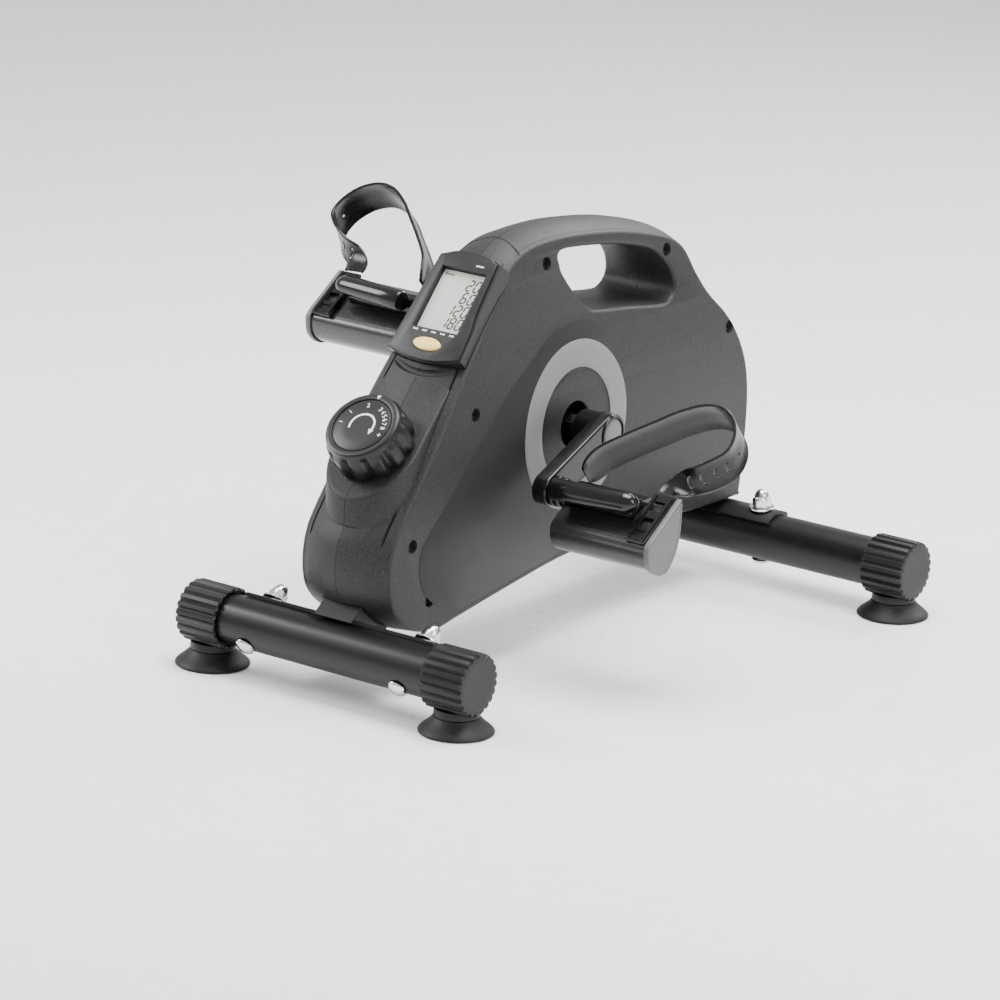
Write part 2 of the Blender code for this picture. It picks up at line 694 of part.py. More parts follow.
def side_reach(z):
    """Half width of the housing at this height: upright below, leaning in above."""
    levels = [level_height(level) for level in SIDE_LEVELS]
    if z <= levels[0]:
        return HOUSING_HALF_WIDTH
    above = (min(z, HOUSING_TOP) - levels[0]) / (HOUSING_TOP - levels[0])
    return HOUSING_HALF_WIDTH - (HOUSING_HALF_WIDTH - TOP_HALF_WIDTH) * above ** 2


def level_height(level):
    return outline_point(0, level)[1]


def flat_reach(z):
    """side_reach drawn as straight lines between the levels, so that strips stay flat."""
    levels = [level_height(level) for level in SIDE_LEVELS]
    levels += [HOUSING_TOP]
    if z <= levels[0]:
        return HOUSING_HALF_WIDTH
    for low, high in zip(levels, levels[1:]):
        if z <= high:
            share = (z - low) / (high - low)
            return side_reach(low) + (side_reach(high) - side_reach(low)) * share
    return TOP_HALF_WIDTH


def inward(points, distance):
    """Move a closed outline inwards by a distance, corner by corner."""
    count = len(points)
    moved = []
    area = sum(points[i][0] * points[(i + 1) % count][1] - points[(i + 1) % count][0] * points[i][1]
               for i in range(count))
    turn = 1 if area > 0 else -1
    for index in range(count):
        before = Vector(points[index - 1])
        here = Vector(points[index])
        after = Vector(points[(index + 1) % count])
        first = (here - before).normalized()
        second = (after - here).normalized()
        normal = Vector((-(first.y + second.y), first.x + second.x))
        normal.normalize()
        stretch = max(normal.dot(Vector((-first.y, first.x))), 0.5)
        spot = here + normal * (turn * distance / stretch)
        moved.append((spot.x, spot.y))
    return moved


def housing_solid(shrink, start_x):
    """Half of the housing's outer form, or of its inside when shrink is the wall."""
    edge = [outline_point(*row[0]) for row in OUTLINE]
    seam = [outline_point(*row[1]) for row in OUTLINE]
    if shrink:
        edge = inward(edge, shrink)
        seam = inward(seam, shrink)
    face = inward(edge, SIDE_FILLET)
    rings = []
    for share in (0.0, 0.5, 0.8, 1.0):
        ring = []
        for (edge_y, edge_z), (seam_y, seam_z) in zip(edge, seam):
            blend = share ** 2
            y = seam_y + (edge_y - seam_y) * blend
            z = seam_z + (edge_z - seam_z) * blend
            reach = side_reach(z) - shrink - SIDE_FILLET * 0.8
            ring.append((start_x + (reach - start_x) * share, y, z))
        rings.append(ring)
    rings.append([(side_reach(z) - shrink, y, z) for y, z in face])
    work = loft(rings)
    lean_side_face(work, shrink)
    return work


def lean_side_face(work, shrink):
    """Split the flat side face at each level and set each strip to the housing's width."""
    work.normal_update()
    side_faces = [face for face in work.faces if len(face.verts) > 8 and face.normal.x > 0.5]
    for face in side_faces:
        for vert in face.verts:
            vert.co.x = HOUSING_HALF_WIDTH
    for level in SIDE_LEVELS:
        faces = [face for face in work.faces if all(abs(v.co.x - HOUSING_HALF_WIDTH) < 1e-7
                                                    for v in face.verts)]
        edges = {edge for face in faces for edge in face.edges}
        verts = {vert for face in faces for vert in face.verts}
        bmesh.ops.bisect_plane(work, geom=[*verts, *edges, *faces],
                               plane_co=(0, 0, level_height(level)), plane_no=(0, 0, 1))
    faces = [face for face in work.faces if all(abs(v.co.x - HOUSING_HALF_WIDTH) < 1e-7
                                                for v in face.verts)]
    for vert in {vert for face in faces for vert in face.verts}:
        vert.co.x = flat_reach(vert.co.z) - shrink
    bmesh.ops.triangulate(work, faces=[face for face in work.faces if len(face.verts) > 4])


def handle_outline(grow):
    points = [outline_point(*point) for point in HANDLE_OUTLINE]
    return inward(points, -grow)


def slope_frame():
    """Origin and axes of the rider-facing slope: along it upwards, and out of it."""
    low = Vector((0, *outline_point(*OUTLINE[9][1])))
    high = Vector((0, *outline_point(*OUTLINE[12][1])))
    along = (high - low).normalized()
    outwards = Vector((0, -along.z, along.y))
    return low, along, outwards


def platform_frame():
    """Lower edge and axes of the flat platform under the brake knob."""
    low = Vector((0, *outline_point(0.0073, 0.1493)))
    high = Vector((0, *outline_point(0.0935, 0.2235)))
    along = (high - low).normalized()
    outwards = Vector((0, -along.z, along.y))
    return low, along, outwards


def platform_solid(start_x):
    """Round-ended platform with upright walls that carries the knob."""
    low, along, _ = platform_frame()
    radius = HOUSING_HALF_WIDTH - 0.0045
    centre_y = low.y + radius
    plan = [(centre_y - radius * math.sin(angle), radius * math.cos(angle))
            for angle in (math.pi / 2 * step / 8 for step in range(9))]
    far_y = low.y + along.y * 0.108
    outline = [(start_x, low.y)]
    outline += [(x, y) for y, x in reversed(plan)][1:]
    outline += [(radius - 0.006, far_y), (start_x, far_y)]

    def place(x, y, top):
        if not top:
            return (x, y, low.z - 0.021)
        return (x, y, low.z + (y - low.y) * along.z / along.y)

    bottom = [place(x, y, False) for x, y in outline]
    upper = [place(x, y, True) for x, y in outline]
    return loft([bottom, upper])


def console_outline(grow):
    """Console seen from the front: half widths along its length, with bowed ends."""
    half = CONSOLE_LENGTH / 2 + grow
    low_width = CONSOLE_BOTTOM_HALF_WIDTH + grow
    high_width = CONSOLE_TOP_HALF_WIDTH + grow
    points = []
    for step in range(9):
        x = -low_width + 2 * low_width * step / 8
        points.append((x, -half + 0.006 * (x / low_width) ** 2))
    for step in range(9):
        x = high_width - 2 * high_width * step / 8
        points.append((x, half - 0.006 * (x / high_width) ** 2))
    return points


def console_frame():
    """Centre of the console's face and the axes of the slope it lies on."""
    low, along, outwards = slope_frame()
    high = Vector((0, *outline_point(*OUTLINE[13][1])))
    centre = high - along * (CONSOLE_LENGTH / 2 + 0.006)
    depth = (centre - low).dot(outwards)
    centre = centre + outwards * (CONSOLE_PROUD - depth)
    return centre, along, outwards


def on_slope(centre, along, outwards):
    """A function that places (across, along, height) on the sloping face."""
    def place(across, up, height):
        point = centre + along * up + outwards * height
        return (point.x + across, point.y, point.z)
    return place


def housing_half(name, side):
    """One hollow half shell with its handle opening, pocket, crank hole and floor openings."""
    start = GAP / 2
    shell = add_object(name, housing_solid(0.0, start), "housing_plastic", side=side)
    step = add_object(tool_name(name + "_platform"), platform_solid(start), "housing_plastic",
                      side=side)
    join(shell, step)

    inside = add_object(tool_name(name + "_inside"), housing_solid(HOUSING_WALL, -0.001),
                        "housing_plastic", side=side)
    handle_wall = add_object(tool_name(name + "_handle_wall"),
                             prism(handle_outline(HANDLE_WALL), -0.01, 0.06, side_place),
                             "housing_plastic", side=side)
    console_wall = add_object(tool_name(name + "_console_wall"),
                              prism(console_outline(HOUSING_WALL + GAP),
                                    -CONSOLE_THICKNESS - HOUSING_WALL, 0.02,
                                    on_slope(*console_frame())), "housing_plastic")
    cut(inside, handle_wall)
    cut(inside, console_wall)
    cut(shell, inside)

    handle = add_object(tool_name(name + "_handle"),
                        prism(handle_outline(0), -0.01, 0.06, side_place), "housing_plastic",
                        side=side)
    cut(shell, handle)
    pocket = add_object(tool_name(name + "_console_pocket"),
                        prism(console_outline(GAP), -CONSOLE_THICKNESS - GAP, 0.03,
                              on_slope(*console_frame())), "housing_plastic")
    cut(shell, pocket)
    crank_hole = add_object(tool_name(name + "_crank_hole"),
                            turned([(0, 0.03), (CRANK_HOLE_RADIUS, 0.03),
                                    (CRANK_HOLE_RADIUS, 0.06), (0, 0.06)], segments=36),
                            "housing_plastic", side=side)
    crank_hole.location = CRANK_CENTRE
    cut(shell, crank_hole)

    lean = lean_vector(FRONT_LEAN)
    leg_room = slanted_box(tool_name(name + "_leg_room"), Vector((0, FRONT_Y, TUBE_HEIGHT)), lean,
                           LEG_HALF_WIDTH + 0.0008, LEG_HEIGHT + 0.0016, LEG_LENGTH * 0.75,
                           offset=-0.02)
    cut(shell, leg_room)
    rear_room = add_object(tool_name(name + "_rear_room"),
                           box((-LEG_HALF_WIDTH - 0.0008, REAR_Y - REAR_LEG_DEPTH / 2 - 0.0008,
                                0.03),
                               (LEG_HALF_WIDTH + 0.0008, REAR_Y + REAR_LEG_DEPTH / 2 + 0.0008,
                                BEAM_HEIGHT)), "housing_plastic")
    cut(shell, rear_room)
    spindle_hole = add_object(tool_name(name + "_spindle_hole"),
                              turned([(0, -0.03), (SPINDLE_RADIUS + RUNNING_GAP, -0.03),
                                      (SPINDLE_RADIUS + RUNNING_GAP, 0.03), (0, 0.03)],
                                     "Z", 24), "housing_plastic")
    spindle_hole.matrix_world = knob_matrix()
    cut(shell, spindle_hole)
    return shell


# ---------------------------------------------------------------- console
def build_console():
    centre, along, outwards = console_frame()
    place = on_slope(centre, along, outwards)
    body = add_object("console_body",
                      prism(console_outline(0), -CONSOLE_THICKNESS, 0, place), "console_plastic")
    window_up = CONSOLE_LENGTH * 0.055
    half_wide = DISPLAY_WIDTH / 2
    half_long = DISPLAY_LENGTH / 2

    def rectangle(grow):
        return [(-half_wide - grow, window_up - half_long - grow),
                (half_wide + grow, window_up - half_long - grow),
                (half_wide + grow, window_up + half_long + grow),
                (-half_wide - grow, window_up + half_long + grow)]

    recess = add_object(tool_name("display_recess"),
                        prism(rectangle(GAP), -DISPLAY_RECESS - DISPLAY_THICKNESS - GAP, 0.01,
                              place), "console_plastic")
    cut(body, recess)
    add_object("lcd_display",
               prism(rectangle(0), -DISPLAY_RECESS - DISPLAY_THICKNESS, -DISPLAY_RECESS, place),
               "display_glass")

    button_up = -CONSOLE_LENGTH / 2 + 0.0135
    button_axis = add_axis("mode_button_axis", centre + along * button_up)
    count = 28

    def oval(wide, long):
        return [(wide * math.cos(2 * math.pi * step / count),
                 button_up + long * math.sin(2 * math.pi * step / count))
                for step in range(count)]

    well_depth = 0.0045
    well = add_object(tool_name("button_well"),
                      prism(oval(BUTTON_WIDTH / 2 + GAP, BUTTON_LENGTH / 2 + GAP), -well_depth,
                            0.01, place), "console_plastic")
    cut(body, well)
    rings = []
    button_floor = -well_depth + BUTTON_TRAVEL + GAP
    for height, share in ((button_floor, 1.0), (0.0, 1.0), (BUTTON_HEIGHT * 0.7, 0.93),
                          (BUTTON_HEIGHT, 0.78)):
        outline = [(a * share, button_up + (b - button_up) * share)
                   for a, b in oval(BUTTON_WIDTH / 2, BUTTON_LENGTH / 2)]
        rings.append([Vector(place(a, b, height)) - button_axis.location for a, b in outline])
    add_object("mode_button", loft(rings), "button_yellow", parent=button_axis)

    board_low = -CONSOLE_THICKNESS + 0.0035
    cavity = [(-0.024, -0.036), (0.024, -0.036), (0.024, 0.036), (-0.024, 0.036)]
    back_room = add_object(tool_name("board_room"),
                           prism(cavity, -CONSOLE_THICKNESS - 0.002, -0.0085, place),
                           "console_plastic")
    cut(body, back_room)
    board = [(a * 0.97, b * 0.97) for a, b in cavity]
    add_object("circuit_board", prism(board, board_low, board_low + 0.0016, place), "board_green")


# ---------------------------------------------------------------- brake knob
def knob_matrix():
    """Frame of the knob: its Z axis stands out of the platform and its Y runs up the slope."""
    low, along, outwards = platform_frame()
    origin = low + along * KNOB_UP_SLOPE
    across = Vector((1, 0, 0))
    return Matrix.Translation(origin) @ Matrix((across, along, outwards)).transposed().to_4x4()


def build_knob():
    frame = knob_matrix()
    axis = add_axis("tension_knob_axis", frame.translation)
    axis.rotation_euler = frame.to_euler()
    count = KNOB_LOBES * 5

    def lobed(radius, depth, height):
        ring = []
        for step in range(count):
            angle = 2 * math.pi * step / count
            dip = max(0.0, math.cos(KNOB_LOBES * angle)) ** 1.5
            reach = radius - depth * dip
            ring.append((reach * math.cos(angle), reach * math.sin(angle), height))
        return ring

    base = 0.0012
    top = base + KNOB_HEIGHT
    rings = [lobed(KNOB_RADIUS - 0.001, 0.0022, base), lobed(KNOB_RADIUS, 0.0026, base + 0.0015),
             lobed(KNOB_RADIUS - 0.0012, 0.0026, top - 0.006),
             lobed(KNOB_FACE_RADIUS + 0.001, 0.0, top - 0.0035),
             lobed(KNOB_FACE_RADIUS, 0.0, top)]
    knob = add_object("tension_knob", loft(rings), "knob_plastic", parent=axis)
    seat = add_object(tool_name("knob_seat"),
                      turned([(0, base - 0.002), (SPINDLE_RADIUS + GAP, base - 0.002),
                              (SPINDLE_RADIUS + GAP, base + 0.014), (0, base + 0.014)], "Z", 24),
                      "knob_plastic", parent=axis)
    cut(knob, seat)
    spool = 0.009
    profile = [(0, -0.026), (spool, -0.026), (spool, -0.018), (SPINDLE_RADIUS, -0.018),
               (SPINDLE_RADIUS, base + 0.0135), (0, base + 0.0135)]
    add_object("tension_spindle", turned(profile, "Z", 24), "bright_steel", parent=axis)


# ---------------------------------------------------------------- crank and drive
def crank_vector(angle, length):
    return Vector((0, length * math.cos(angle), length * math.sin(angle)))


def build_drive():
    axis = add_axis("crank_axis", CRANK_CENTRE)
    axle_end = CRANK_OUTER_X - 0.0045
    axle_profile = [(0, -axle_end), (AXLE_RADIUS, -axle_end), (AXLE_RADIUS, axle_end),
                    (0, axle_end)]
    add_object("crank_axle", turned(axle_profile, segments=32), "bright_steel", parent=axis)

    for side, side_name in ((1, "right"), (-1, "left")):
        low = SHELL_HALF_LENGTH - 0.001 - BEARING_WIDTH
        high = SHELL_HALF_LENGTH - 0.001
        ring = turned([(AXLE_RADIUS + RUNNING_GAP, low), (BEARING_RADIUS, low),
                       (BEARING_RADIUS, high), (AXLE_RADIUS + RUNNING_GAP, high)], segments=24)
        bearing = add_object(side_name + "_bearing", ring, "bright_steel", side=side)
        bearing.location = CRANK_CENTRE

    half = PULLEY_WIDTH / 2
    groove = PULLEY_RADIUS - 0.0014
    rim = PULLEY_RADIUS
    belt_half = BELT_WIDTH / 2 + GAP
    web_half = 0.002
    pulley = [(AXLE_RADIUS + GAP, -half), (0.016, -web_half), (rim - 0.008, -web_half),
              (rim - 0.005, -half), (rim, -half), (rim, -belt_half), (groove, -belt_half),
              (groove, belt_half), (rim, belt_half), (rim, half), (rim - 0.005, half),
              (rim - 0.008, web_half), (0.016, web_half), (AXLE_RADIUS + GAP, half)]
    shifted = [(radius, along + PULLEY_X) for radius, along in pulley]
    wheel = add_object("drive_pulley", turned(shifted, segments=28), "pulley_plastic", parent=axis)
    magnet_spot = Vector((PULLEY_X - 0.0022, 0.040, 0))
    pocket = turned([(0, -0.0018), (0.0042, -0.0018), (0.0042, 0.0018), (0, 0.0018)], segments=20)
    pocket_tool = add_object(tool_name("magnet_pocket"), pocket, "pulley_plastic", parent=axis)
    pocket_tool.location = magnet_spot + Vector((-0.0008, 0, 0))
    cut(wheel, pocket_tool)
    magnet = turned([(0, -0.0012), (0.0039, -0.0012), (0.0039, 0.0009), (0, 0.0009)], segments=20)
    add_object("pulley_magnet", magnet, "bright_steel", parent=axis).location = magnet_spot
    build_belt(groove + GAP)
    build_flywheel()
    for side, side_name, angle in ((1, "right", RIGHT_CRANK_ANGLE), (-1, "left", LEFT_CRANK_ANGLE)):
        crank_arm(side_name, side, angle, axis, axle_end)
        build_pedal(side_name, side, angle, axis)


def build_belt(big):
    """Closed flat belt round the drive pulley and the small pulley."""
    small = SMALL_PULLEY_RADIUS + GAP
    apart = Vector((FLYWHEEL_Y - CRANK_Y, FLYWHEEL_HEIGHT - CRANK_HEIGHT))
    distance = apart.length
    base = math.atan2(apart.y, apart.x)
    spread = math.acos((big - small) / distance)

    def loop(extra):
        first = arc((CRANK_Y, CRANK_HEIGHT), big + extra, base + spread,
                    base + 2 * math.pi - spread, 26)
        second = arc((FLYWHEEL_Y, FLYWHEEL_HEIGHT), small + extra, base - spread,
                     base + spread, 9)
        return first + second

    low = PULLEY_X - BELT_WIDTH / 2
    high = PULLEY_X + BELT_WIDTH / 2
    outside = loop(BELT_THICKNESS)
    inside = loop(0)
    rings = [[(low, y, z) for y, z in outside], [(high, y, z) for y, z in outside],
             [(high, y, z) for y, z in inside], [(low, y, z) for y, z in inside]]
    add_object("drive_belt", loft(rings, closed=True), "belt_rubber")


def build_flywheel():
    axis = add_axis("flywheel_axis", FLYWHEEL_CENTRE)
    radius = FLYWHEEL_AXLE_RADIUS
    belt_half = BELT_WIDTH / 2 + GAP
    left_end = PULLEY_X - PULLEY_WIDTH / 2
    right_end = FLYWHEEL_X + FLYWHEEL_WIDTH / 2 + 0.001
    flange = SMALL_PULLEY_RADIUS + 0.0012
    axle = [(0, left_end), (flange, left_end), (flange, PULLEY_X - belt_half),
            (SMALL_PULLEY_RADIUS, PULLEY_X - belt_half),
            (SMALL_PULLEY_RADIUS, PULLEY_X + belt_half), (flange, PULLEY_X + belt_half),
            (flange, left_end + PULLEY_WIDTH), (radius, left_end + PULLEY_WIDTH),
            (radius, right_end), (0, right_end)]
    add_object("flywheel_axle", turned(axle, segments=24), "bright_steel", parent=axis)
    half = FLYWHEEL_WIDTH / 2
    rim = FLYWHEEL_RADIUS - 0.016
    disc = [(radius + GAP, -half), (0.016, -half), (0.018, -0.003), (rim, -0.003), (rim, -half),
            (FLYWHEEL_RADIUS, -half), (FLYWHEEL_RADIUS, half), (rim, half), (rim, 0.003),
            (0.018, 0.003), (0.016, half), (radius + GAP, half)]
    shifted = [(distance, along + FLYWHEEL_X) for distance, along in disc]
    add_object("flywheel", turned(shifted, segments=32), "cast_iron", parent=axis)
    build_brake()


def brake_pivot():
    """Place of the pin that the magnet carrier swings on."""
    return FLYWHEEL_CENTRE + Vector((0, -0.083, -0.022))


def build_brake():
    """Magnet carrier that swings towards the flywheel's rim, its pivot pin and its cable."""
    pivot = brake_pivot()
    axis = add_axis("brake_axis", pivot)
    away = FLYWHEEL_RADIUS + 0.0045
    start = math.radians(128)
    end = math.radians(172)
    outer = away + 0.0035
    centre = (FLYWHEEL_CENTRE.y - pivot.y, FLYWHEEL_CENTRE.z - pivot.z)
    low_x = FLYWHEEL_X - 0.0055
    high_x = FLYWHEEL_X + 0.0055
    outline = arc(centre, outer + 0.003, start, end, 10) + arc(centre, outer, end, start, 10)
    carrier = add_object("magnet_carrier", prism(outline, low_x, high_x, side_place),
                         "frame_paint", parent=axis)
    last = arc(centre, outer + 0.0015, end, end, 1)[0]
    arm = add_object(tool_name("carrier_arm"),
                     prism(strip((0, 0), (last[0], last[1]), 0.0045), low_x, high_x, side_place),
                     "frame_paint", parent=axis)
    join(carrier, arm)
    boss = add_object(tool_name("carrier_boss"),
                      turned([(0, low_x), (0.0075, low_x), (0.0075, high_x), (0, high_x)],
                             segments=28), "frame_paint", parent=axis)
    join(carrier, boss)
    bore = add_object(tool_name("carrier_bore"),
                      turned([(0, 0), (0.003 + RUNNING_GAP, 0), (0.003 + RUNNING_GAP, 0.05),
                              (0, 0.05)], segments=24), "frame_paint", parent=axis)
    cut(carrier, bore)
    magnet = arc(centre, outer - GAP, start + 0.06, end - 0.10, 8)
    magnet += arc(centre, away, end - 0.10, start + 0.06, 8)
    add_object("brake_magnet", prism(magnet, low_x + 0.0005, high_x - 0.0005, side_place),
               "bright_steel", parent=axis)
    pin_start = BRACKET_FACE + GAP
    pin_profile = [(0, pin_start), (0.0065, pin_start), (0.0065, pin_start + 0.002),
                   (0.003, pin_start + 0.002), (0.003, high_x + 0.0008), (0, high_x + 0.0008)]
    pin = add_object("brake_pivot_pin", turned(pin_profile, segments=24), "zinc")
    pin.location = pivot
    build_cable(pivot)


def strip(first, last, half):
    """Rectangle round the line between two points of an outline plane."""
    run = Vector((last[0] - first[0], last[1] - first[1])).normalized()
    side = Vector((-run.y, run.x)) * half
    return [(first[0] + side.x, first[1] + side.y), (first[0] - side.x, first[1] - side.y),
            (last[0] - side.x, last[1] - side.y), (last[0] + side.x, last[1] + side.y)]


def build_cable(pivot):
    """Brake cable from the knob's spool to just above the magnet carrier."""
    frame = knob_matrix()
    start = frame @ Vector((0.006, 0.0, -0.030))
    finish = Vector((FLYWHEEL_X - 0.012, pivot.y - 0.010, pivot.z + 0.040))
    top = CRANK_HEIGHT + SHELL_RADIUS + 0.018
    route = [start, start + Vector((0.002, 0.020, 0.008)),
             Vector((0.010, (start.y + CRANK_Y) / 2, top)),
             Vector((0.010, CRANK_Y, top + 0.004)),
             Vector((0.012, (CRANK_Y + finish.y) / 2 + 0.01, top - 0.004)), finish]
    radius = 0.0022
    path = smooth_path(route, 6)
    rings = []
    for index, point in enumerate(path):
        before = path[max(index - 1, 0)]
        after = path[min(index + 1, len(path) - 1)]
        run = (after - before).normalized()
        side = run.cross(Vector((0, 0, 1))).normalized()
        up = side.cross(run)
        ring = []
        for step in range(8):
            angle = 2 * math.pi * step / 8
            ring.append(point + side * (radius * math.cos(angle)) + up * (radius * math.sin(angle)))
        rings.append(ring)
    add_object("brake_cable", loft(rings), "cable_black")


def crank_arm(side_name, side, angle, axis, axle_end):
    """Flat arm with a boss round the axle and an eye for the pedal's spindle."""
    inner_x = CRANK_OUTER_X - CRANK_THICKNESS
    end = crank_vector(angle, CRANK_LENGTH)
    heading = math.atan2(end.z, end.y)
    outline = arc((0, 0), CRANK_BOSS_RADIUS, heading + math.pi / 2, heading + 3 * math.pi / 2, 16)
    outline += arc((end.y, end.z), CRANK_EYE_RADIUS, heading - math.pi / 2,
                   heading + math.pi / 2, 14)
    arm = add_object(side_name + "_crank_arm", prism(outline, inner_x, CRANK_OUTER_X, side_place),
                     "crank_paint", parent=axis, side=side)
    boss = add_object(tool_name(side_name + "_crank_boss"),
                      turned([(0, CRANK_BOSS_INNER_X), (CRANK_BOSS_RADIUS - 0.001,
                                                         CRANK_BOSS_INNER_X),
                              (CRANK_BOSS_RADIUS - 0.001, CRANK_OUTER_X - 0.002),
                              (0, CRANK_OUTER_X - 0.002)], segments=32), "crank_paint",
                      parent=axis, side=side)
    join(arm, boss)
    cap_radius = CRANK_BOSS_RADIUS - 0.003
    hole = turned([(0, CRANK_BOSS_INNER_X - 0.001), (AXLE_RADIUS + GAP, CRANK_BOSS_INNER_X - 0.001),
                   (AXLE_RADIUS + GAP, axle_end - 0.001), (cap_radius, axle_end - 0.001),
                   (cap_radius, CRANK_OUTER_X + 0.002), (0, CRANK_OUTER_X + 0.002)], segments=32)
    hole_tool = add_object(tool_name(side_name + "_crank_bore"), hole, "crank_paint", parent=axis,
                           side=side)
    cut(arm, hole_tool)
    eye = turned([(0, 0.04), (PEDAL_SPINDLE_RADIUS + GAP, 0.04), (PEDAL_SPINDLE_RADIUS + GAP, 0.09),
                  (0, 0.09)], segments=24)
    eye_tool = add_object(tool_name(side_name + "_crank_eye"), eye, "crank_paint", parent=axis,
                          side=side)
    eye_tool.location = end
    cut(arm, eye_tool)

    disc_base = axle_end + GAP
    disc = [(0, disc_base), (cap_radius - GAP, disc_base),
            (cap_radius - GAP, CRANK_OUTER_X - 0.0008), (cap_radius - 0.002, CRANK_OUTER_X - 0.0003),
            (0, CRANK_OUTER_X - 0.0001)]
    add_object(side_name + "_dust_cap", turned(disc, segments=32), "dust_cap_grey", parent=axis,
               side=side)
    spindle = turned([(0, inner_x - 0.001), (PEDAL_SPINDLE_RADIUS, inner_x - 0.001),
                      (PEDAL_SPINDLE_RADIUS, SPINDLE_END_X), (0, SPINDLE_END_X)], segments=20)
    rod = add_object(side_name + "_pedal_spindle", spindle, "bright_steel", parent=axis, side=side)
    rod.location = end


# ---------------------------------------------------------------- pedals
# Section of the levelling weight, as (Y, Z) from the pedal's spindle. It starts at the low front
# end of the slope that the strap's buckle lies on and runs round over the top.
WEIGHT_SECTION = [(-0.0200, -0.0145), (0.0050, 0.0026), (0.0145, 0.0026), (0.0140, -0.0090),
                  (0.0120, -0.0210), (0.0070, -0.0320), (0.0000, -0.0395), (-0.0080, -0.0405),
                  (-0.0165, -0.0370), (-0.0225, -0.0300), (-0.0240, -0.0200)]
END_PLATE_SECTION = [(-0.0225, -0.0140), (-0.0050, -0.0020), (0.0125, 0.0100), (0.0155, 0.0085),
                     (0.0155, -0.0090), (0.0132, -0.0220), (0.0075, -0.0335), (0.0000, -0.0410),
                     (-0.0080, -0.0420), (-0.0170, -0.0385), (-0.0240, -0.0310),
                     (-0.0258, -0.0200)]
# Middle line of the foot strap: X from the machine's middle, Y and Z from the spindle, and how
# far the band has twisted from standing across the foot to lying flat on the buckle's slope.
STRAP_ROUTE = [(0.0940, 0.0119, 0.0123, 0), (0.0950, 0.0172, 0.0167, 0),
               (0.1010, 0.0272, 0.0251, 0), (0.1160, 0.0394, 0.0354, 0),
               (0.1330, 0.0517, 0.0456, 0), (0.1460, 0.0609, 0.0534, 0),
               (0.1620, 0.0685, 0.0598, 0), (0.1770, 0.0700, 0.0610, 0),
               (0.1910, 0.0647, 0.0566, 0), (0.2000, 0.0547, 0.0482, 0),
               (0.2020, 0.0440, 0.0392, 0), (0.1965, 0.0365, 0.0325, 0.15),
               (0.1860, 0.0305, 0.0255, 0.40), (0.1740, 0.0265, 0.0205, 0.75),
               (0.1655, 0.0212, 0.0159, 0.97), (0.1643, 0.0157, 0.0122, 1.0)]
STRAP_LEAN = math.radians(40)   # slope of the strap's loop, upwards to the rear


def build_pedal(side_name, side, angle, crank_axis):
    axis = add_axis(side_name + "_pedal_axis", crank_vector(angle, CRANK_LENGTH))
    axis.parent = crank_axis
    pedal_frame(side_name, side, axis)
    weight = add_object(side_name + "_pedal_weight",
                        prism(WEIGHT_SECTION, BLOCK_START_X, BLOCK_END_X + 0.001, side_place),
                        "weight_grey", parent=axis, side=side)
    plate = add_object(tool_name(side_name + "_end_plate"),
                       prism(END_PLATE_SECTION, BLOCK_END_X, BLOCK_END_X + END_PLATE_THICKNESS,
                             side_place), "weight_grey", parent=axis, side=side)
    join(weight, plate)
    room = turned([(0, 0.05), (HUB_RADIUS + GAP, 0.05), (HUB_RADIUS + GAP, HUB_END_X + GAP),
                   (0, HUB_END_X + GAP)], segments=24)
    room_tool = add_object(tool_name(side_name + "_weight_room"), room, "weight_grey", parent=axis,
                           side=side)
    cut(weight, room_tool)
    buckle(side_name, side, axis)
    strap(side_name, side, axis)


def pedal_frame(side_name, side, axis):
    """Hub tube with its collar, the tread plate and the round bar along its front edge."""
    collar_end = PEDAL_START_X + HUB_COLLAR_LENGTH
    rim = 0.0015
    hub = [(0, PEDAL_START_X), (HUB_COLLAR_RADIUS - rim, PEDAL_START_X),
           (HUB_COLLAR_RADIUS, PEDAL_START_X + rim), (HUB_COLLAR_RADIUS, collar_end),
           (HUB_RADIUS, collar_end), (HUB_RADIUS, HUB_END_X), (0, HUB_END_X)]
    body = add_object(side_name + "_pedal_frame", turned(hub, segments=24), "pedal_gloss",
                      parent=axis, side=side)
    tread = add_object(tool_name(side_name + "_tread"),
                       box((BLOCK_START_X + 0.0005, -0.0180, 0.0030),
                           (HUB_END_X + 0.001, 0.0145, 0.0075)), "pedal_gloss", parent=axis,
                       side=side)
    join(body, tread)
    bar = add_object(tool_name(side_name + "_front_bar"), front_bar(), "pedal_gloss", parent=axis,
                     side=side)
    join(body, bar)
    bore = turned([(0, 0.05), (PEDAL_SPINDLE_RADIUS + RUNNING_GAP, 0.05),
                   (PEDAL_SPINDLE_RADIUS + RUNNING_GAP, SPINDLE_END_X + 0.0008),
                   (0, SPINDLE_END_X + 0.0008)], segments=20)
    bore_tool = add_object(tool_name(side_name + "_pedal_bore"), bore, "pedal_gloss", parent=axis,
                           side=side)
    cut(body, bore_tool)


def front_bar():
    """Round bar along the heel edge of the tread with a domed outer end."""
    start = Vector((BLOCK_START_X - 0.0005, -0.0222, 0.0088))
    end = Vector((0.1570, -0.0118, 0.0088))
    run = (end - start).normalized()
    flat = Vector((-run.y, run.x, 0))
    up = Vector((0, 0, 1))
    length = (end - start).length
    stations = [(0.0, 0.80), (0.0015, 1.0)]
    for step in range(0, 4):
        angle = math.pi / 2 * step / 4
        stations.append((length - BAR_RADIUS + BAR_RADIUS * math.sin(angle), math.cos(angle)))
    stations.append((length, 0.12))
    rings = []
    for along, share in stations:
        ring = []
        for step in range(16):
            angle = 2 * math.pi * step / 16
            ring.append(start + run * along + flat * (BAR_RADIUS * share * math.cos(angle))
                        + up * (BAR_RADIUS * share * math.sin(angle)))
        rings.append(ring)
    return loft(rings)


